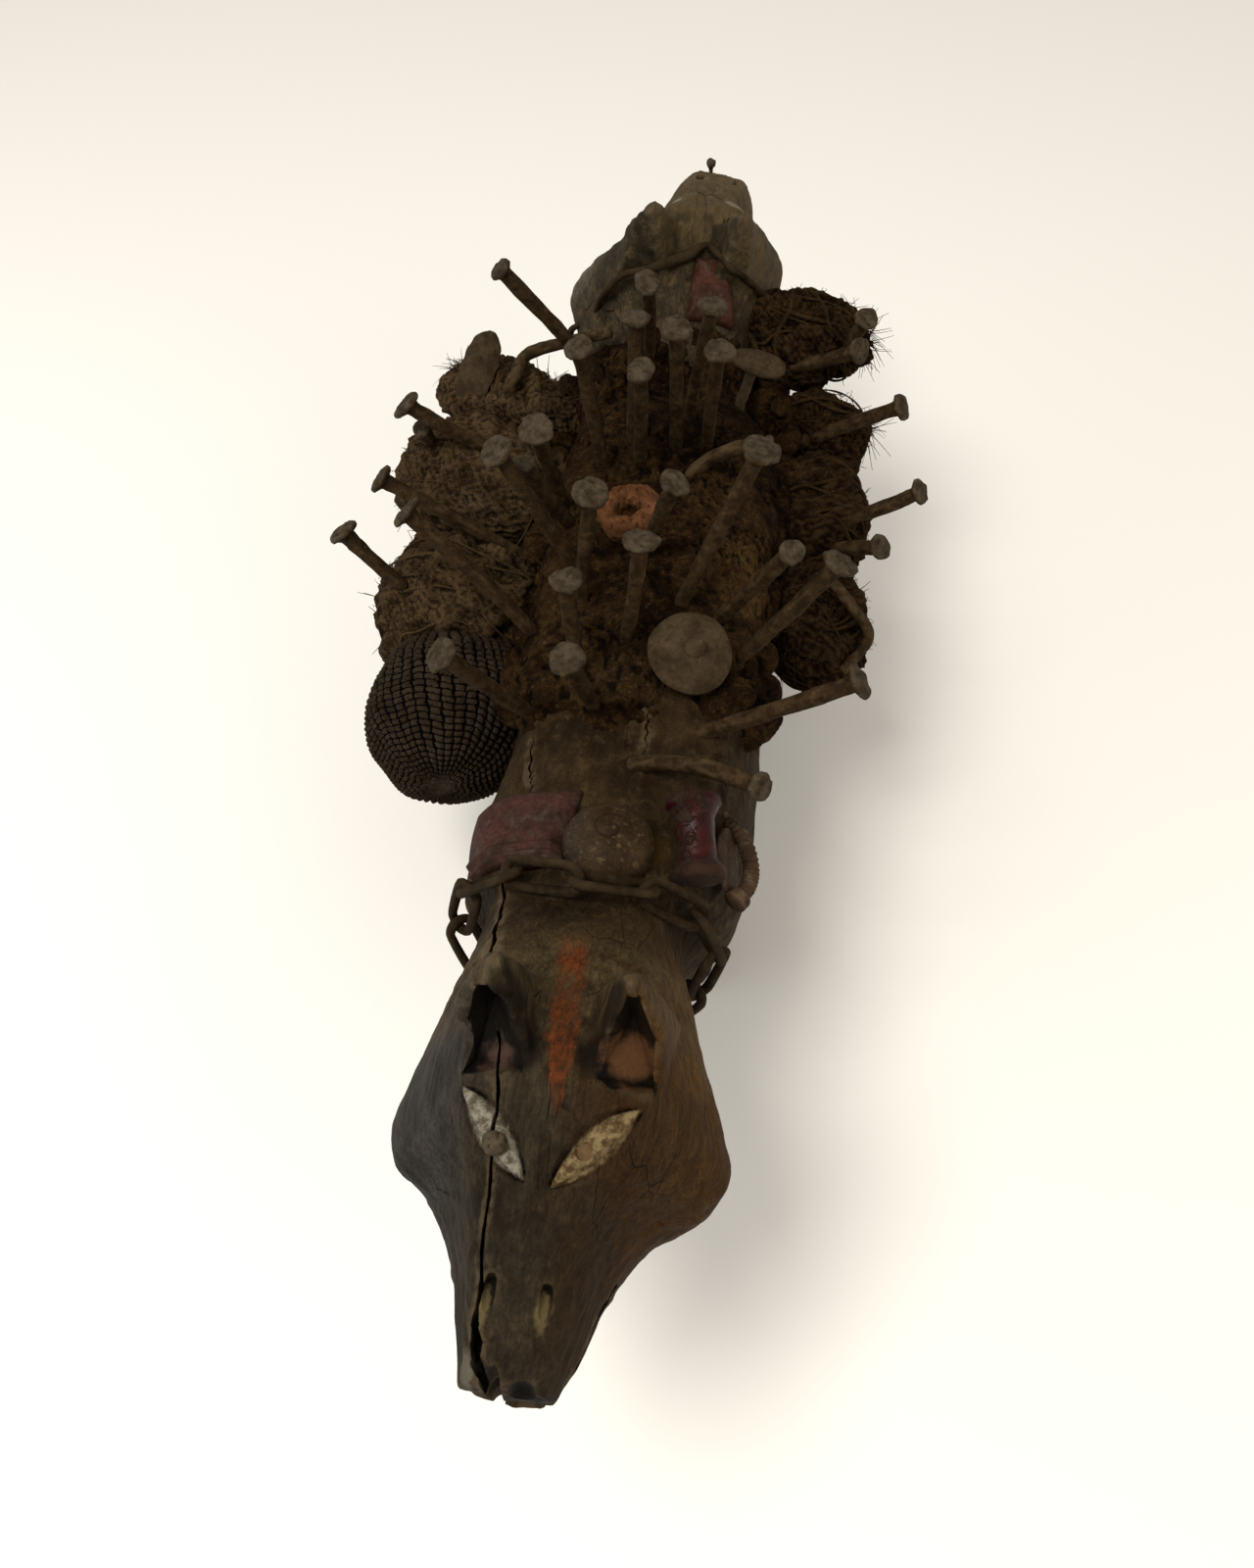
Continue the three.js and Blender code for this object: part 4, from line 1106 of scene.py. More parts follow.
def add_collar(material):
    low = np.array([0.25, 0.36, 0.5, 0.64, 0.74])
    under = skin(over(0.0, float(COLLAR_Y))[0], low, 3.4)
    points = np.concatenate([np.array(FAR_WIRE, dtype=float), under])
    closed = np.concatenate([points[-3:], points, points[:4]])

    def place(along, turn):
        at = 3 + (along % 1) * len(points)
        centre = curve(closed, at)
        ahead = unit(curve(closed, at + 0.1) - curve(closed, at - 0.1))
        across = unit(np.cross([0.2, 1.0, 0.1], ahead))
        angle = turn * TAU
        strap = smooth_step(at, 6.0, 6.6) * (1 - smooth_step(at, 8.2, 8.8))
        wire = 1.9 + 1.3 * strap + 0.2 * np.sin(along * 90)
        other = np.cross(ahead, across)
        return centre + across * (wire * np.cos(angle))[:, None] + other * (wire * np.sin(angle))[:, None]
    edged("far_wire", ring(10, 160, place), material, ["far_collar"])


# Nails: foot x and y on the wood, lean sideways and along the back, length proud, head radius
BACK_NAILS = [
    (-42, 182, -32, -10, 95, 6.5), (-17, 190, 3, -22, 72, 7), (-19, 120, 3, 0, 88, 7),
    (-13, 106, 3, -11, 80, 7), (5, 120, 1, -6, 88, 7.5), (9, 146, 9, -9, 88, 7.5),
    (21, 121, 5, -11, 84, 7.5), (-31, 104, -6, -3, 88, 7.5), (-36, 33, -23, -1, 88, 8.5),
    (-48, 84, -6, -17, 85, 9), (-42, 67, -16, -19, 72, 5.5), (-32, 11, 7, -1, 78, 8.5),
    (-3, 39, 14, -15, 76, 7), (-7, -19, 8, -1, 75, 8), (-26, -36, -1, -3, 70, 7),
    (-16, -56, -7, -19, 60, 7.5), (-47, -53, -30, -15, 70, 8.5), (14, 0, 24, 18, 100, 9.5),
    (33, 2, 28, -12, 80, 6), (44, -17, 34, 3, 85, 8), (36, -62, 58, 1, 80, 8),
    (-52, 3, -42, 12, 96, 8.5), (12, 97, 20, 5, 54, 6.5), (8, -88, 50, -20, 57, 6.5),
]
# Bent nails by their place in the list: how far they turn and towards where, in degrees
BENT = {22: (85, -10), 23: (62, -38)}
# Nails in bundles: bundle, foot as shares of its half sizes, leans, length proud, head radius
BUNDLE_NAILS = [
    ("right_top_bundle", (0.7, -0.65, 0.4), 18, -17, 28, 7),
    ("right_top_bundle", (-0.1, -0.9, 0), 53, -35, 52, 7.5),
    ("left_upper_bundle", (0.2, -0.15, 0.95), -52, -10, 54, 8),
    ("left_upper_bundle", (-0.5, 0, 0.85), -6, -27, 20, 5),
    ("left_mid_bundle", (0.35, 0.55, 0.75), -55, 0, 70, 7.5),
    ("left_mid_bundle", (-0.55, -0.3, 0.75), -35, 2, 45, 8.5),
    ("right_upper_bundle", (-0.45, -0.75, 0.4), 62, 0, 65, 8),
    ("right_mid_bundle", (0.55, -0.4, 0.7), 55, -8, 45, 7),
    ("right_mid_bundle", (0.35, -0.8, 0.5), 55, -40, 32, 6.5),
]

# Bundles: side, y, z, half sizes, lean, how far they press into the barrel
BUNDLES = {
    "woven_bag": (-1, -18, 142, (43, 48, 40), -4, 3),
    "left_mid_bundle": (-1, 50, 150, (48, 44, 40), 6, 3),
    "left_upper_bundle": (-1, 132, 165, (50, 44, 36), 12, 3),
    "left_top_bundle": (-1, 184, 183, (46, 25, 22), 20, 8),
    "right_low_bundle": (1, 52, 150, (28, 34, 34), 0, 3),
    "right_mid_bundle": (1, 130, 152, (29, 44, 32), 0, 6),
    "right_upper_bundle": (1, 198, 158, (29, 27, 28), 0, 7),
    "right_top_bundle": (1, 240, 194, (40, 28, 28), 0, 34),
}


def bundle_centre(name):
    side, y, z, half, _, inset = BUNDLES[name]
    return np.array([side * (BARREL_HALF_WIDTH + half[0] - inset), y, z], dtype=float)


# Rows of place along a nail and radius there, from its tip to the top of its head
def nail_rows(proud, head, thick, deep):
    flare = head - thick
    return np.array([
        (-deep, 0.55 * thick), (-deep * 0.4, 0.85 * thick), (0, 0.92 * thick), (proud * 0.35, 0.96 * thick),
        (proud * 0.7, thick), (proud - 7, 1.05 * thick), (proud - 5, thick + 0.12 * flare),
        (proud - 3.8, thick + 0.6 * flare), (proud - 3, head * 0.97), (proud - 1.6, head),
        (proud - 0.6, head * 0.93), (proud - 0.1, head * 0.7), (proud + 0.3, head * 0.3),
    ])


# The line that a shaft follows at reaches over the wood: swaying by bow, or bent
def nail_line(foot, way, proud, bow, bend, reach):
    reach = np.asarray(reach, dtype=float)
    if bend is None:
        sway = np.sin(np.clip(reach / proud, 0, 1) * math.pi)[:, None]
        return foot + way * reach[:, None] + sway * (axes(way)[0] * bow[0] + axes(way)[1] * bow[1])
    turn, to = bend
    over_way = unit([math.cos(math.radians(to)), math.sin(math.radians(to)), -0.1])
    radius = proud / math.radians(turn)
    angle = math.radians(turn) * np.clip(reach / proud, 0, 1)
    spot = foot + way * (np.where(reach > 0, radius * np.sin(angle), reach))[:, None]
    spot = spot + over_way * (radius * (1 - np.cos(angle)))[:, None]
    return spot + way * (np.maximum(reach - proud, 0) * math.cos(math.radians(turn)))[:, None]


# A forged nail: a squarish shaft, swaying or bent, under a ragged, slightly tilted head
def nail(foot, side, lean, proud, head, bend=None, shaft=1.0, deep=NAIL_DEPTH, seed=0):
    chance = np.random.default_rng(100 + seed)
    way = unit([math.tan(math.radians(side)), math.tan(math.radians(lean)), 1.0])
    thick = NAIL_SHAFT * shaft
    tilt = chance.uniform(-0.16, 0.16, 2)
    phases = chance.uniform(0, TAU, 6)
    bow = chance.uniform(-1.2, 1.2, 2)
    rows = nail_rows(proud, head, thick, deep)

    def spine(reach):
        return nail_line(foot, way, proud, bow, bend, reach)

    def place(along, turn):
        reach, radius = curve(rows, along * (len(rows) - 1)).T
        ahead = unit(spine(reach + 0.5) - spine(reach - 0.5))
        across = unit(np.cross([0, 1, 0], ahead))
        other = np.cross(ahead, across)
        angle = turn * TAU + phases[0]
        cap = smooth_step(reach, proud - 6, proud - 3)
        square = (np.abs(np.cos(angle)) ** 3.2 + np.abs(np.sin(angle)) ** 3.2) ** (-1 / 3.2)
        ragged = 1 + 0.06 * np.sin(2 * angle + phases[1]) + 0.04 * np.sin(3 * angle + phases[2])
        ragged = ragged + 0.025 * np.sin(7 * angle + phases[3])
        shape = np.where(cap > 0.5, ragged, 0.9 * square * (1 + 0.05 * np.sin(reach / 5 + phases[4])))
        out = radius * shape
        lift = cap * (tilt[0] * np.sin(angle) + tilt[1] * np.cos(angle)) * out
        lift = lift + cap * 0.25 * np.sin(4 * angle + out)
        sides = across * (out * np.sin(angle))[:, None] + other * (out * np.cos(angle))[:, None]
        return spine(reach) + sides + ahead * lift[:, None]
    mesh = tube(*NAIL_CELLS, place)
    neck, before, after = spine(np.array([proud - 4.0, proud - 0.5, proud + 0.5]))
    top = smooth_step((read(mesh) - neck) @ unit(after - before), 0.0, 3.0)
    pushed(mesh, lambda spots: 0.16 * lumps(spots, 5, seed + 7) + 0.12 * lumps(spots, 2.2, seed + 8))
    keep(mesh, "top", top)
    return mesh


def add_nails(material):
    feet = on_top(*np.array([row[:2] for row in BACK_NAILS]).T)
    made = [(foot, row[2:], BENT.get(i)) for i, (foot, row) in enumerate(zip(feet, BACK_NAILS))]
    for name, out, *rest in BUNDLE_NAILS:
        made.append((bundle_centre(name) + np.array(out) * np.array(BUNDLES[name][3]), rest, None))
    for count, (foot, sizes, bend) in enumerate(made, 1):
        mesh = nail(foot, *sizes, bend, seed=count)
        edged(f"forged_nail_{count:02d}", mesh, material, [f"nail_{count:02d}"])
    eye = nail(on_top(-17.5, NEAR_HEAD[1] - 18.0), -10, -20, 5.5, 4.4, shaft=0.4, deep=12, seed=60)
    edged("eye_nail_head", eye, material, ["eye_nail"])
    snout = nail(on_top(4.0, FAR_HEAD[1] + 84.0), 0, 10, 7, 3, shaft=0.35, deep=10, seed=61)
    edged("snout_nail_head", snout, material, ["snout_nail"])


def add_hook_and_bar(material):
    low = bundle_centre("right_low_bundle")
    route = [low + p for p in ((-2, 6, 18), (5, 1, 34), (17, -12, 31), (27, -17, 15), (15, -34, 6))]
    hook = rod(route, lambda along, turn: 3.2 - 0.6 * along, 18, 70, 0.15, 41)
    edged("iron_hook", hook, material, ["side_hook"])
    top = bundle_centre("left_top_bundle")
    route = [top + (1, -12, 13), top + (8, -10, 28)]
    route += [beside(*p) for p in ((-1.46, 190, 1), (-1.08, 195, 3), (-0.65, 190, 18))]
    bar = rod(route, lambda along, turn: 3.8 - 0.5 * along, 18, 80, 0.2, 42)
    edged("iron_bar", bar, material, ["bent_bar"])


# A leaf-shaped blade standing up from its foot, its flat side facing the way flat
def leaf(foot, tip, flat, wide):
    ahead = unit(tip - foot)
    length = float(np.linalg.norm(tip - foot))
    ways = axes(np.array(flat) - np.dot(flat, ahead) * ahead, ahead)
    shares = [(0, 0.3), (0.08, 0.62), (0.3, 0.92), (0.5, 1), (0.75, 0.9), (0.92, 0.6), (1, 0.2)]
    rows = np.array([(share, wide * width) for share, width in shares])

    def place(along, turn):
        share, width = curve(rows, along * (len(rows) - 1)).T
        angle = turn * TAU
        width = width * (1 + 0.03 * np.sin(share * 31))
        thick = -1.6 * np.sin(angle) + 0.8 * (width / wide) ** 2 * np.cos(angle) ** 2
        return np.stack([width * np.cos(angle), length * share, thick], -1) @ ways + foot
    return pushed(tube(40, 40, place), lambda spots: 0.22 * lumps(spots, 8, 43))


def add_blades(material):
    top = bundle_centre("left_top_bundle")
    blade = leaf(top + (-23, -13, 8), top + (-6.5, 8, 43), (-0.04, -0.76, 0.56), 10.5)
    edged("left_leaf", blade, material, ["blade_left"], 60)
    stem_foot = beside(0.93, 168, -15)
    stem_top = beside(1.03, 161, 34)
    ways = axes((0, -0.35, 0.94), (0.3, 0.9, 0.3)) * np.array([[1.05], [0.5], [1]])
    profile = [(13, -1.5), (15, -0.8), (15, 0.6), (13, 1.6), (5, 2)]
    plate = turned(profile, 60, beside(1.03, 160, 34), ways, 24,
                   lambda along, turn: 0.04 * np.sin(turn * TAU * 3))
    stem = rod([stem_foot, (stem_foot + stem_top) / 2, stem_top], 3.0, 14, 24, 0.15, 44)
    edged("right_leaf", joined([plate, stem]), material, ["blade_right"], 60)


# A bundle's plain form in the given directions, slack millimetres smaller than its solid
def core(name, ways, slack):
    side, _, _, half, lean, _ = BUNDLES[name]
    square = np.sign(ways) * np.abs(ways) ** 0.92
    local = square * (np.array(half) - slack)
    return turned_by(local, lean * side, 2) + bundle_centre(name)


# A stuffed bundle's surface: clods and, across an axis, folds of cloth laid round it
def stuffed(name, seed, axis, period, depth):
    def relief(spots):
        away = spots - bundle_centre(name)
        along = away @ unit(axis) + 5 * lumps(spots, 46, seed + 3) + 1.6 * lumps(spots, 15, seed + 4)
        pleat = np.abs(np.sin(math.pi * along / period)) ** 0.6 - 0.6
        pleat = depth * pleat * (0.5 + 0.6 * smooth_step(lumps(spots, 34, seed + 5), -0.8, 0.8))
        clods = 1.7 * lumps(spots, 50, seed + 7) + 1.9 * lumps(spots, 24, seed)
        clods = clods + 1.2 * lumps(spots, 12, seed + 1) - 1.1 * np.abs(lumps(spots, 8, seed + 2))
        clods = clods + 0.5 * lumps(spots, 4, seed + 8)
        strings = -0.35 * np.abs(lumps(spots, 5, seed + 6, 1 + 2.5 * (1 - np.abs(unit(axis)))))
        return clods + strings + pleat
    return pushed(ball(*BUNDLE_CELLS, lambda ways: core(name, ways, 1.0)), relief)


# Cords wound round a bundle: the axis they wind about, how many and how thick
def windings(name, seed, axis, count, radius):
    spread, tilt, slack = 0.8, 16, 1.5
    chance = np.random.default_rng(seed)
    base, along, turn = ring_stock(6, 64)
    mesh = copies(base, count)
    spots = []
    for k in range(count):
        offset = spread * (2 * (k + chance.uniform(-0.3, 0.3)) / max(count - 1, 1) - 1)
        leaning = np.array(axis) + np.tan(np.radians(chance.uniform(-tilt, tilt, 3)))
        frame_axes = axes(unit(leaning), (0.3, 0.5, 0.7))
        angle = TAU * along
        wander = offset + 0.09 * np.sin(2 * angle + chance.uniform(0, TAU)) + 0.04 * np.sin(5 * angle + k)
        flat = np.sqrt(np.clip(1 - wander ** 2, 0.05, 1))
        ways = unit(np.stack([flat * np.cos(angle), flat * np.sin(angle), wander], -1) @ frame_axes)
        middle = core(name, ways, slack)
        out = unit(middle - bundle_centre(name))
        ahead = unit(np.cross(frame_axes[2], out))
        other = np.cross(ahead, out)
        size = radius * chance.uniform(0.6, 1.3) * (1 + 0.2 * np.sin(angle * 7 + k))
        wire = TAU * turn
        raised = out * (size * np.cos(wire) + 0.3 * size)[:, None]
        spots.append(middle + raised + other * (size * np.sin(wire))[:, None])
    write(mesh, np.concatenate(spots))
    return outward(mesh)


# Loose fibres standing out of a bundle towards one way, gathered round it
def fibres(name, seed, count, length, toward, gather):
    radius = 0.35
    chance = np.random.default_rng(seed)
    base, along, turn = tube_stock(3, 6)
    mesh = copies(base, count)
    along = np.clip(along, 0, 1)
    starts = unit(np.asarray(toward) + gather * chance.normal(size=(count, 3)))
    roots = core(name, starts, 2.0)
    out = unit(0.6 * starts + chance.normal(size=(count, 3)))
    curl = unit(chance.normal(size=(count, 3)))
    reach = length * chance.uniform(0.4, 1.2, count)
    spots = []
    for root, way, turn_way, far in zip(roots, out, curl, reach):
        side = unit(np.cross(way, turn_way))
        line = root + way * (far * along)[:, None] + turn_way * (0.8 * far * along ** 2)[:, None]
        line = line + np.array([0, 0, -0.25]) * (far * along ** 2)[:, None]
        thin = radius * (1 - 0.6 * along)
        other = np.cross(way, side)
        angle = TAU * turn
        spots.append(line + side * (thin * np.cos(angle))[:, None] + other * (thin * np.sin(angle))[:, None])
    write(mesh, np.concatenate(spots))
    return outward(mesh)


# The woven bag: strips over and under each other, drawn in to a point at both ends
def basket_mesh():
    def place(w):
        around = np.arctan2(w[:, 0], w[:, 2]) / TAU
        rise = np.arcsin(np.clip(w[:, 1], -1, 1)) / math.pi + 0.5
        u = (around + 0.10 * rise) * BAG_CELLS[0]
        v = rise * BAG_CELLS[1] + 0.5 * np.sin(around * TAU) + 0.25 * np.sin(around * TAU * 9)
        odd = np.cos(math.pi * np.floor(u)) * np.cos(math.pi * np.floor(v))
        upright = np.sqrt(np.abs(np.sin(math.pi * u))) * (0.55 + 0.45 * odd * np.abs(np.sin(math.pi * v)))
        level = np.sqrt(np.abs(np.sin(math.pi * v))) * (0.55 - 0.45 * odd * np.abs(np.sin(math.pi * u)))
        weave = 3.0 * np.maximum(upright, level) - 2.0
        spots = core("woven_bag", w, 0.6)
        centre = bundle_centre("woven_bag")
        fade = smooth_step(1 - np.abs(w[:, 1]), 0.0, 0.05)
        spots = spots + unit(spots - centre) * (weave * fade)[:, None]
        return spots + unit(spots - centre) * (0.8 * lumps(spots, 30, 51))[:, None]
    return ball(BAG_CELLS[0] * 6, BAG_CELLS[1] * 6, lambda w: place(w[:, [0, 2, 1]]))


# Bundles' wrappings: seed, axis, fold's period and depth, then cords as axis, count and radius, then
# fibres as count, length, way and gathering
WRAPPINGS = {
    "left_mid_bundle": (61, (0.1, 1, 0.3), 13, 1.3, [((0, 1, 0.2), 6, 0.7)],
                        [(240, 6, (-0.5, -0.3, 0.8), 0.8)]),
    "left_upper_bundle": (62, (0.5, 1, 0), 17, 1.0, [((0.3, 1, 0), 4, 0.7)],
                          [(220, 6, (-0.4, 0, 0.9), 0.8)]),
    "left_top_bundle": (63, (1, 0.4, 0), 12, 1.0, [((1, 0.4, 0), 3, 0.7)],
                        [(120, 7, (-0.9, 0.3, 0.6), 0.2), (160, 9, (0.6, 0.5, 0.7), 0.3)]),
    "right_low_bundle": (64, (0.4, 0.5, 1), 9, 1.3, [((0, 0.3, 1), 8, 0.9), ((0.4, 1, 0), 6, 0.9)],
                         [(420, 7, (0.3, -0.4, 0.8), 0.9)]),
    "right_mid_bundle": (65, (0, 1, 0.1), 8, 2.2, [((0, 1, 0.1), 10, 1.0)], [(120, 7, (0.5, 0, 0.7), 0.8)]),
    "right_upper_bundle": (66, (0.2, 1, 0.2), 8, 1.6, [((0.2, 1, 0.2), 5, 0.9)],
                           [(120, 6, (0.5, -0.3, 0.6), 0.8), (70, 11, (1, 0.1, 0.1), 0.12)]),
    "right_top_bundle": (67, (0.5, 1, 0.2), 7, 1.5, [((0.5, 1, 0.2), 6, 1.0), ((1, 0, 0.3), 3, 1.5)],
                         [(260, 8, (-0.2, -0.4, 0.8), 0.8), (150, 12, (1, -0.1, 0.2), 0.16)]),
}


def add_bundles(dusty, dark, bag):
    mesh = basket_mesh()
    keep(mesh, "up", normals(mesh)[:, 2])
    edged("basket_bag", mesh, bag, ["woven_bag"], rounds=0)
    for name, (seed, axis, period, depth, cords, tufts) in WRAPPINGS.items():
        parts = [stuffed(name, seed, axis, period, depth)]
        parts += [windings(name, seed + 200 + k, *cord) for k, cord in enumerate(cords)]
        parts += [fibres(name, seed + 300 + k, *tuft) for k, tuft in enumerate(tufts)]
        mesh = joined(parts)
        keep(mesh, "up", normals(mesh)[:, 2])
        fibre = dusty if name.startswith("left") else dark
        shown = name.replace("bundle", "medicine")
        edged(shown, mesh, fibre, [name], rounds=0)


# Looks
def model_x(x):
    return x - MIDDLE[0]


def model_y(y):
    return y - MIDDLE[1]


# The wood's tones from place to place, each over the ones before
def wood_tones(look, x, y, z, patches, caked, far):
    broad = look.noise(46, 3)
    sideways = look.kept("sideways")
    head = 1.0 - y.step(-190, -170)
    warm_right = x.step(4, 38) * head * look.noise(30, 3, shift=5).step(0.25, 0.6)
    cool_left = (1.0 - x.step(-36, -10)) * (1.0 - y.step(-250, -215))
    nape = y.step(-245, -195) * (1.0 - y.step(-60, -20))
    cheek = x.step(30, 62) * head * z.step(150, 215) * (0.35 + 0.65 * y.step(-290, -240))
    brow = y.step(-256, -236) * (1.0 - y.step(-206, -190))
    brow = brow * look.noise(12, 5, shift=13, rough=0.65).step(0.3, 0.6)
    cake = look.blend(look.noise(22, 5, shift=12, rough=0.65), (40, 30, 20), (64, 49, 32), 0.34, 0.64)
    far_ears = y.step(214, 222) * (1.0 - y.step(262, 270)) * z.step(222, 236)
    # painted shade on the far ears' faces turned towards -X
    shaded_side = far_ears * (1.0 - sideways.step(-0.15, 0.3))
    dust = look.noise(8, 6, shift=8, rough=0.7).step(0.5, 0.66) * (0.35 + 0.65 * y.step(-210, -120))
    return look.layered(
        look.blend(patches, (42, 35, 26), (62, 53, 40), 0.34, 0.66),
        (warm_right, 0.9, look.blend(patches, (70, 48, 27), (54, 37, 22))),
        (cool_left, 0.85, look.blend(patches, (52, 50, 48), (72, 68, 65))),
        (nape, 0.75, look.blend(broad, (38, 28, 18), (60, 47, 31))),
        (cheek, 0.75, paint(98, 67, 33)),
        (brow, 0.6, paint(84, 70, 46)),
        (caked, 0.85, cake),
        (far, 0.9, look.blend(broad, (94, 78, 52), (74, 61, 41))),
        (far * (1.0 - x.step(-34, -14)), 0.7, paint(104, 98, 88)),
        (shaded_side, 0.85, look.blend(patches, (32, 28, 21), (52, 45, 33))),
        # painted light on the far ears' faces turned towards +X
        (far_ears * sideways.step(0.3, 0.7), 0.5, paint(96, 82, 54)),
        (1.0 - z.step(110, 160), 0.6, paint(40, 32, 23)),
        (dust, 0.55, paint(84, 68, 44)),
    )


def wood_look():
    look = Look("dark worn wood")
    x, y, z = (look.axis(name) for name in "XYZ")
    edge = look.kept("edge")
    patches = look.noise(15, 5, (1, 1.7, 1), shift=3)
    grain = look.noise(2.4, 6, (0.5, 9, 0.5), 0.65)
    fine = look.noise(1.0, 5, rough=0.7)
    caked = y.step(-150, -112) * (1.0 - y.step(120, 160)) * z.step(150, 185)
    far = y.step(222, 258)
    streaks = grain + (0.49 - grain) * (caked.high(far * 0.8) * 0.85)
    colour = wood_tones(look, x, y, z, patches, caked, far)
    colour = look.mottled(colour, streaks, 0.62, 1.28, 0.28, 0.7)
    colour = look.mottled(colour, look.noise(5.5, 5, (0.7, 2.6, 0.7), 0.7, shift=11), 0.72, 1.3)
    colour = look.mottled(colour, fine, 0.8, 1.3, 0.35, 0.75)
    worn = edge.step(0.1, 0.6) * look.noise(5, 4).step(0.3, 0.6)
    checks = look.border(26, (0.5, 4.5, 0.6)).step(0.012, 0.0) * look.noise(40, 2, shift=9).step(0.52, 0.66)
    colour = look.layered(
        colour,
        (worn, 0.55, paint(104, 88, 66)),
        # painted shade: the wood goes near black in its hollows
        ((0.0 - edge).step(0.08, 0.55), 0.85, paint(12, 9, 7)),
        (checks, 0.75, paint(14, 10, 8)),
    )
    chalky = look.noise(2.6, 6, (0.8, 1.8, 1), 0.75)
    colour = face_paint(look, colour, x, y, z, chalky)
    colour = eye_paint(look, colour, x, y, z, chalky)
    cake_grit = caked * (look.noise(3.5, 6, shift=14, rough=0.75) * 1.6 + look.noise(1.2, 4, shift=15) * 0.5)
    bump = streaks * 0.4 + fine * 0.2 + patches * 0.5 - checks * 0.8 + cake_grit
    rough = 0.6 + 0.25 * patches - 0.12 * worn
    return look.finish(colour, rough, bump, 1.5, specular=0.07)


# The near face: painted shade on the planes beside the ears and inside the mouth, the red stripe, and red
# left in the ears
def face_paint(look, colour, x, y, z, chalky):
    face = (1.0 - y.step(-262, -238)) * (1.0 - look.egg((-2, -262, 250), (20, 16, 20), 0.6))
    colour = look.shaded(colour, face, 0.72)
    # painted shade on the sides of the raised forehead wedge between the ears
    for side in (1, -1):
        low = look.egg((side * 12 - 1.5, -251, 260), (9, 12, 22), 0.5, 0.4)
        high = look.egg((side * 18 - 1.5, -239, 268), (9, 12, 22), 0.5, 0.4)
        colour = look.mix(low.high(high) * 0.8, colour, paint(26, 22, 18))
    # painted shade inside the mouth hollow
    mouth_shade = look.egg((-1, -357, 204), (11, 8, 8), 0.5, 0.4)
    colour = look.mix(mouth_shade * 0.85, colour, paint(20, 16, 12))
    middle = (y - model_y(-186.0)) * -0.07 + model_x(-5.0)
    width = 5.8 - 4.3 * (1.0 - y.step(model_y(-278), model_y(-238)))
    stripe = 1.0 - (abs(x - middle) / width + (chalky - 0.5) * 1.6).step(0.55, 1.25)
    stripe = stripe * y.step(model_y(-277), model_y(-266)) * (1.0 - y.step(model_y(-200), model_y(-186)))
    stripe = stripe * z.step(218, 224) * (0.2 + 0.6 * look.noise(8, 4, (0.7, 1.6, 1)).step(0.35, 0.6))
    colour = look.mix(stripe, colour, look.blend(chalky, (116, 60, 30), (68, 38, 22), 0.35, 0.65))
    right_ear = look.egg((25, -252, 254), (11, 11, 13), 0.45, 1.3)
    left_ear = look.egg((-24, -254, 251), (9, 8, 11), 0.6, 1.3)
    return look.layered(
        colour,
        (right_ear, 0.7, look.mix(chalky, paint(116, 78, 50), paint(74, 52, 34))),
        (left_ear, 0.35, paint(110, 82, 70)),
    )


# White in the near eyes, pale far eyes and nostrils, a chip on the lip, crumbs by the dome
def eye_paint(look, colour, x, y, z, chalky):
    whites = {1: (paint(78, 60, 38), paint(142, 122, 86)), -1: (paint(84, 76, 62), paint(150, 143, 124))}
    for side, ((eye_x, eye_y), slant) in EYES.items():
        angle = math.radians(slant)
        dx = x - model_x(eye_x)
        dy = y - model_y(eye_y)
        along = dx * math.cos(angle) + dy * math.sin(angle)
        across = dy * math.cos(angle) - dx * math.sin(angle)
        reach = (1.0 - (along / EYE_HALF_LENGTH) * (along / EYE_HALF_LENGTH)).high(0.0)
        inside = 1.0 - (abs(across) / (reach * EYE_HALF_WIDTH + 0.05) + (chalky - 0.5) * 0.9).step(0.7, 1.2)
        inside = inside * z.step(226, 232) * reach.step(0.0, 0.06)
        white = look.mix(look.noise(4, 6, shift=side, rough=0.7).step(0.38, 0.62), *whites[side])
        colour = look.mix(inside * 0.85, colour, white)
    pupil = look.egg((PUPIL[0], PUPIL[1], 247), (3.4, 3.4, 14), 0.25, 0.3)
    colour = look.mix(pupil * 0.8, colour, paint(96, 74, 50))
    for side in (1, -1):
        far_eye = look.egg((5 + 19 * side, 292, 246), (9, 8, 10), 0.4, 0.6)
        nose = look.egg((-7 + 10 * side, -332, 222), (3.4, 8.5, 9), 0.3, 0.5)
        colour = look.layered(
            colour,
            (far_eye, 0.5, paint(150, 140, 120)),
            (nose, 0.85, look.mix(chalky, paint(112, 98, 66), paint(72, 62, 40))),
        )
    return look.layered(
        colour,
        (look.egg((-20.5, -351, 212), (4.5, 8, 9), 0.5, 1.4), 0.6, paint(108, 103, 88)),
        (look.egg((17, -132, 203), (11, 12, 12), 0.6, 1.4), 0.8,
         look.mix(chalky, paint(92, 68, 34), paint(52, 38, 22))),
    )


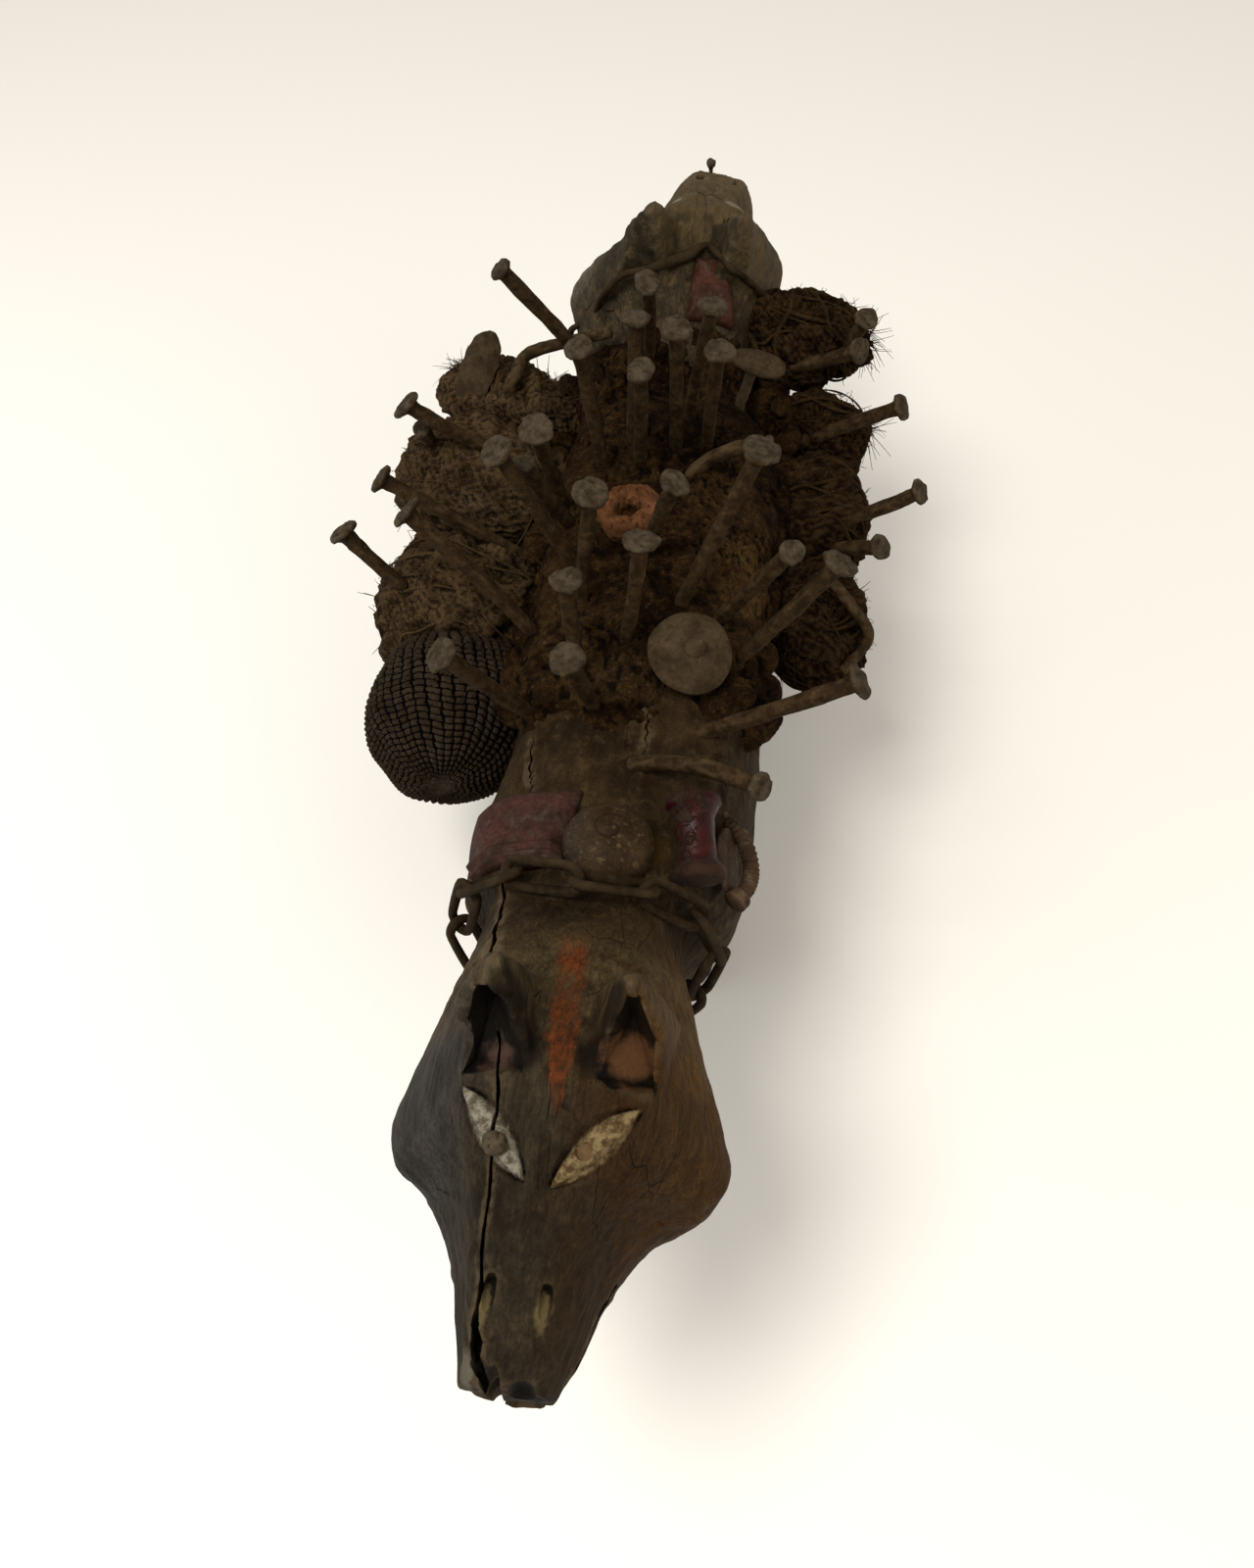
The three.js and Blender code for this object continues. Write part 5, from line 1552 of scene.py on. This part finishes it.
# Rusted iron, its nail heads greyer, all of it darker where light is under 1
def iron_look(name, light=1.0):
    look = Look(name)
    edge = look.kept("edge")
    top = look.kept("top")
    rust = look.noise(6, 6, (1, 1, 1), 0.65)
    scale = look.noise(1.8, 6, shift=4, rough=0.7)
    colour = look.blend(rust, (44, 34, 24), (68, 53, 36), 0.36, 0.66)
    colour = look.mix(rust.step(0.58, 0.7) * 0.25, colour, paint(92, 75, 53))
    colour = look.mottled(colour, scale, 0.75, 1.2)
    rind = look.blend(look.noise(4.5, 5, shift=8), (53, 45, 35), (83, 73, 59))
    colour = look.layered(
        colour,
        (top, 0.85, look.mottled(rind, scale, 0.8, 1.15)),
        (edge.step(0.3, 0.9), 0.35, paint(98, 82, 58)),
        # painted shade: near black in the iron's hollows
        ((0.0 - edge).step(0.1, 0.7), 0.7, paint(12, 8, 6)),
    )
    colour = look.shaded(colour, 1.0, light)
    bump = rust * 0.6 + scale * 0.4 + look.noise(0.8, 3) * 0.1
    return look.finish(colour, 0.6 + 0.3 * rust, bump, 1.3, specular=0.05)


# A flat iron plate or blade under even grey-brown dust
def plate_look():
    look = Look("dusty iron plate")
    edge = look.kept("edge")
    broad = look.noise(12, 5, rough=0.65)
    fine = look.noise(2.2, 6, shift=4, rough=0.7)
    colour = look.blend(broad, (48, 39, 28), (74, 61, 45))
    colour = look.mottled(colour, fine, 0.75, 1.2)
    colour = look.mix(look.noise(5, 5, shift=7).step(0.58, 0.7) * 0.5, colour, paint(46, 31, 19))
    colour = look.mix(edge.step(0.3, 0.9) * 0.4, colour, paint(104, 88, 66))
    # painted shade: near black in the plate's hollows
    colour = look.mix((0.0 - edge).step(0.1, 0.6) * 0.7, colour, paint(16, 11, 8))
    return look.finish(colour, 0.75, broad * 0.5 + fine * 0.4, 1.1, specular=0.05)


def earth_look():
    look = Look("earth and resin")
    edge = look.kept("edge")
    broad = look.noise(34, 5, rough=0.65, twist=1.0)
    crumbs = look.noise(4.5, 6, rough=0.75)
    grit = look.noise(1.2, 5, rough=0.75)
    colour = look.blend(broad, (36, 25, 15), (64, 47, 29), 0.36, 0.62)
    colour = look.mix(crumbs.step(0.5, 0.68) * 0.45, colour, paint(80, 60, 37))
    damp = look.noise(14, 6, shift=6, rough=0.7, twist=1.5).step(0.52, 0.62)
    colour = look.mix(damp * 0.6, colour, paint(24, 16, 10))
    tan = look.egg((44, 34, 196), (18, 40, 30), 0.7, 1.6)
    tan = tan.high(look.egg((-40, 70, 200), (22, 44, 26), 0.8, 1.6) * 0.6)
    front = look.egg((-5, -40, 212), (44, 22, 20), 0.6, 1.2)
    colour = look.mix(tan * 0.7, colour, paint(92, 69, 41))
    colour = look.mix(front * 0.6, colour, look.blend(broad, (58, 44, 29), (76, 58, 38)))
    colour = look.mottled(colour, crumbs, 0.45, 1.35, 0.28, 0.7)
    colour = look.mottled(colour, grit, 0.5, 1.45)
    # painted shade over the earth in the middle of the back, among the nails
    deep = look.egg((0, 130, 205), (42, 46, 26), 0.7, 0.8)
    colour = look.shaded(colour, deep * 0.8, 0.5)
    # painted shade: near black in the earth's hollows
    colour = look.mix((0.0 - edge).step(0.05, 0.6) * 0.8, colour, paint(14, 10, 6))
    bump = crumbs * 1.1 + grit * 0.7 + look.noise(9, 3) * 0.5
    return look.finish(colour, 0.95, bump, 2.4, specular=0.04)


def fibre_look(name, light, dark, tan, dusting, gap_shade=0.55, size=1.0):
    look = Look(name)
    edge = look.kept("edge")
    up = look.kept("up")
    strands = look.noise(2.0 * size, 6, (3.2, 0.6, 0.8), 0.7, twist=0.6)
    across = look.noise(2.4 * size, 6, (0.7, 2.6, 1.2), 0.7, shift=7, twist=0.8)
    mats = look.noise(13, 5, rough=0.65)
    grit = look.noise(1.1 * size, 5, shift=9, rough=0.75)
    colour = look.mix(mats.step(0.35, 0.65), dark, light)
    colour = look.mottled(colour, strands, 0.55, 1.35, 0.3, 0.68)
    colour = look.mottled(colour, across, 0.6, 1.3, 0.3, 0.68)
    dust = look.noise(17, 5, shift=5, rough=0.7).step(0.4, 0.62) * up.step(-0.1, 0.7)
    colour = look.mix(dust * dusting, colour, tan)
    colour = look.mottled(colour, grit, 0.6, 1.4, 0.3, 0.72)
    # painted shade: near black in the hollows between folds and cords
    colour = look.mix((0.0 - edge).step(0.2 - 0.2 * gap_shade, 1.1 - gap_shade * 0.8) * gap_shade, colour, paint(15, 10, 7))
    colour = look.mix(edge.step(0.3, 0.9) * 0.25, colour, tan)
    bump = strands * 0.9 + across * 0.6 + mats * 0.4 + grit * 0.5
    return look.finish(colour, 0.95, bump, 1.8, specular=0.03)


def leather_look(name, light, dark, worn_colour, rough=0.6):
    look = Look(name)
    edge = look.kept("edge")
    broad = look.noise(14, 4)
    pores = look.noise(1.3, 5)
    colour = look.mix(broad.step(0.3, 0.7), dark, light)
    colour = look.mix(look.noise(7, 5, shift=3).step(0.5, 0.7) * 0.6, colour, worn_colour)
    colour = look.mottled(colour, look.noise(2.4, 6, shift=9, rough=0.7), 0.65, 1.3)
    # painted shade: near black in the leather's hollows
    colour = look.mix((0.0 - edge).step(0.1, 0.8) * 0.8, colour, paint(14, 10, 8))
    bump = pores * 0.3 + broad * 0.6 + look.noise(3, 4) * 0.5
    return look.finish(colour, rough + 0.2 * broad, bump, 0.9, specular=0.09)


def lacquer_look():
    look = Look("red lacquer")
    y = look.axis("Y")
    edge = look.kept("edge")
    worn = look.noise(6, 5)
    colour = look.blend(worn, (42, 14, 11), (58, 21, 16))
    ends = 1.0 - (abs(y - model_y(DOME_Y + 8.0)) / 19.0).step(0.65, 0.9)
    colour = look.mix(1.0 - ends, colour, look.mix(worn, paint(38, 26, 18), paint(58, 38, 26)))
    left = 1.0 - (look.axis("X") - model_x(36.0)).step(-4, 4)
    crust = (look.noise(5, 6, shift=2, rough=0.7) + left * 0.09).step(0.53, 0.62)
    colour = look.mix(crust * 0.9, colour, look.mix(worn, paint(34, 25, 16), paint(52, 38, 25)))
    # painted shade: dark in the spool's hollows
    colour = look.mix((0.0 - edge).step(0.1, 0.8) * 0.7, colour, paint(20, 12, 10))
    rough = 0.31 + 0.4 * (1.0 - ends).high(crust) + 0.2 * worn
    bump = crust * 0.8 + worn * 0.4 + look.noise(2, 3) * 0.3
    return look.finish(colour, rough, bump, 0.6, specular=0.18)


def shell_look():
    look = Look("smoked shell")
    x = look.axis("X")
    edge = look.kept("edge")
    broad = look.noise(12, 5)
    colour = look.blend(broad, (42, 32, 22), (64, 50, 34))
    left = 1.0 - x.step(model_x(-16), model_x(-4))
    colour = look.mix(left * 0.5, colour, paint(52, 45, 40))
    colour = look.mix(look.noise(3, 5, shift=4).step(0.56, 0.7) * 0.5, colour, paint(104, 84, 56))
    colour = look.mottled(colour, look.noise(1.8, 6, shift=7, rough=0.7), 0.7, 1.25)
    # painted shade: darker in the spiral groove and other hollows
    colour = look.mix((0.0 - edge).step(0.05, 0.6) * 0.5, colour, paint(30, 21, 14))
    bump = broad * 0.5 + look.noise(1.2, 4) * 0.25
    return look.finish(colour, 0.5 + 0.3 * broad, bump, 0.9, specular=0.08)


def clay_look():
    look = Look("orange clay")
    edge = look.kept("edge")
    broad = look.noise(11, 5)
    grit = look.noise(1.6, 5)
    colour = look.blend(broad, (84, 55, 35), (118, 78, 52))
    colour = look.mix(grit.step(0.5, 0.72) * 0.6, colour, paint(60, 38, 21))
    # painted shade: darker in the clay's hollows
    colour = look.mix((0.0 - edge).step(0.05, 0.6) * 0.7, colour, paint(42, 26, 15))
    colour = look.mottled(colour, look.noise(5, 6, shift=9, rough=0.7), 0.5, 1.1, 0.3, 0.65)
    return look.finish(colour, 0.92, broad * 0.5 + grit * 0.6, 1.8, specular=0.05)


# Floor and light
def add_floor():
    mesh = stock(lambda b: bmesh.ops.create_grid(b, x_segments=2, y_segments=2, size=6))
    floor = added("floor", mesh)
    look = Look("pale floor")
    tone = look.noise(900, 2)
    mesh.materials.append(look.finish(look.mix(tone, (0.84, 0.8, 0.73), (0.86, 0.82, 0.75)), 0.9))


def add_light(name, spot, target, size, power, colour=(1, 1, 1)):
    lamp = bpy.data.lights.new(name, "AREA")
    lamp.shape = "DISK"
    lamp.size = size
    lamp.energy = power
    lamp.color = colour
    thing = bpy.data.objects.new(name, lamp)
    bpy.context.collection.objects.link(thing)
    back = unit(np.array(spot) - np.array(target))
    ways = axes(back, (0.01, 1, 0.02))
    placement = np.eye(4)
    placement[:3, :3] = ways.T
    placement[:3, 3] = spot
    thing.matrix_world = Matrix(placement.tolist())


def set_light():
    add_light("key", (-0.6, -0.7, 2.0), (0, 0, 0.1), 0.9, 34, (1, 0.98, 0.95))
    add_light("fill", (1.6, -0.9, 1.3), (0, 0, 0.1), 1.4, 10, (1, 0.93, 0.82))
    add_light("cool", (-1.7, -0.6, 0.9), (0, 0, 0.1), 1.4, 7, (0.82, 0.9, 1))
    world = bpy.data.worlds.new("studio")
    bpy.context.scene.world = world
    world.use_nodes = True
    backdrop = world.node_tree.nodes["Background"]
    backdrop.inputs["Color"].default_value = (1.0, 0.985, 0.96, 1)
    backdrop.inputs["Strength"].default_value = 0.6
    bpy.context.scene.view_settings.view_transform = "Standard"


set_camera()
add_floor()
set_light()
iron = iron_look("rusted iron")
add_figure(wood_look())
add_earth(earth_look())
add_cup(clay_look())
plate = plate_look()
add_boss(plate)
add_dome(shell_look())
red = leather_look("worn red leather", paint(70, 45, 38), paint(46, 32, 27), paint(74, 64, 54))
pink = leather_look("faded red leather", paint(78, 47, 37), paint(50, 34, 27), paint(80, 64, 52), 0.3)
brown = leather_look("brown leather", paint(76, 58, 43), paint(46, 34, 25), paint(98, 82, 62))
add_pads(red, pink)
add_spool(lacquer_look())
add_loop(brown)
dark_iron = iron_look("dark iron", 0.55)
add_chain(dark_iron)
add_collar(dark_iron)
add_nails(iron)
add_hook_and_bar(iron)
add_blades(plate)
dusty = fibre_look("dusty fibre", paint(86, 69, 51), paint(50, 38, 27), paint(96, 77, 52), 0.6)
dark = fibre_look("dark fibre", paint(58, 44, 30), paint(28, 20, 13), paint(78, 60, 39), 0.3)
raffia = fibre_look("plaited raffia", paint(74, 63, 51), paint(50, 41, 33), paint(70, 58, 44), 0.3, 1.0, 0.6)
add_bundles(dusty, dark, raffia)
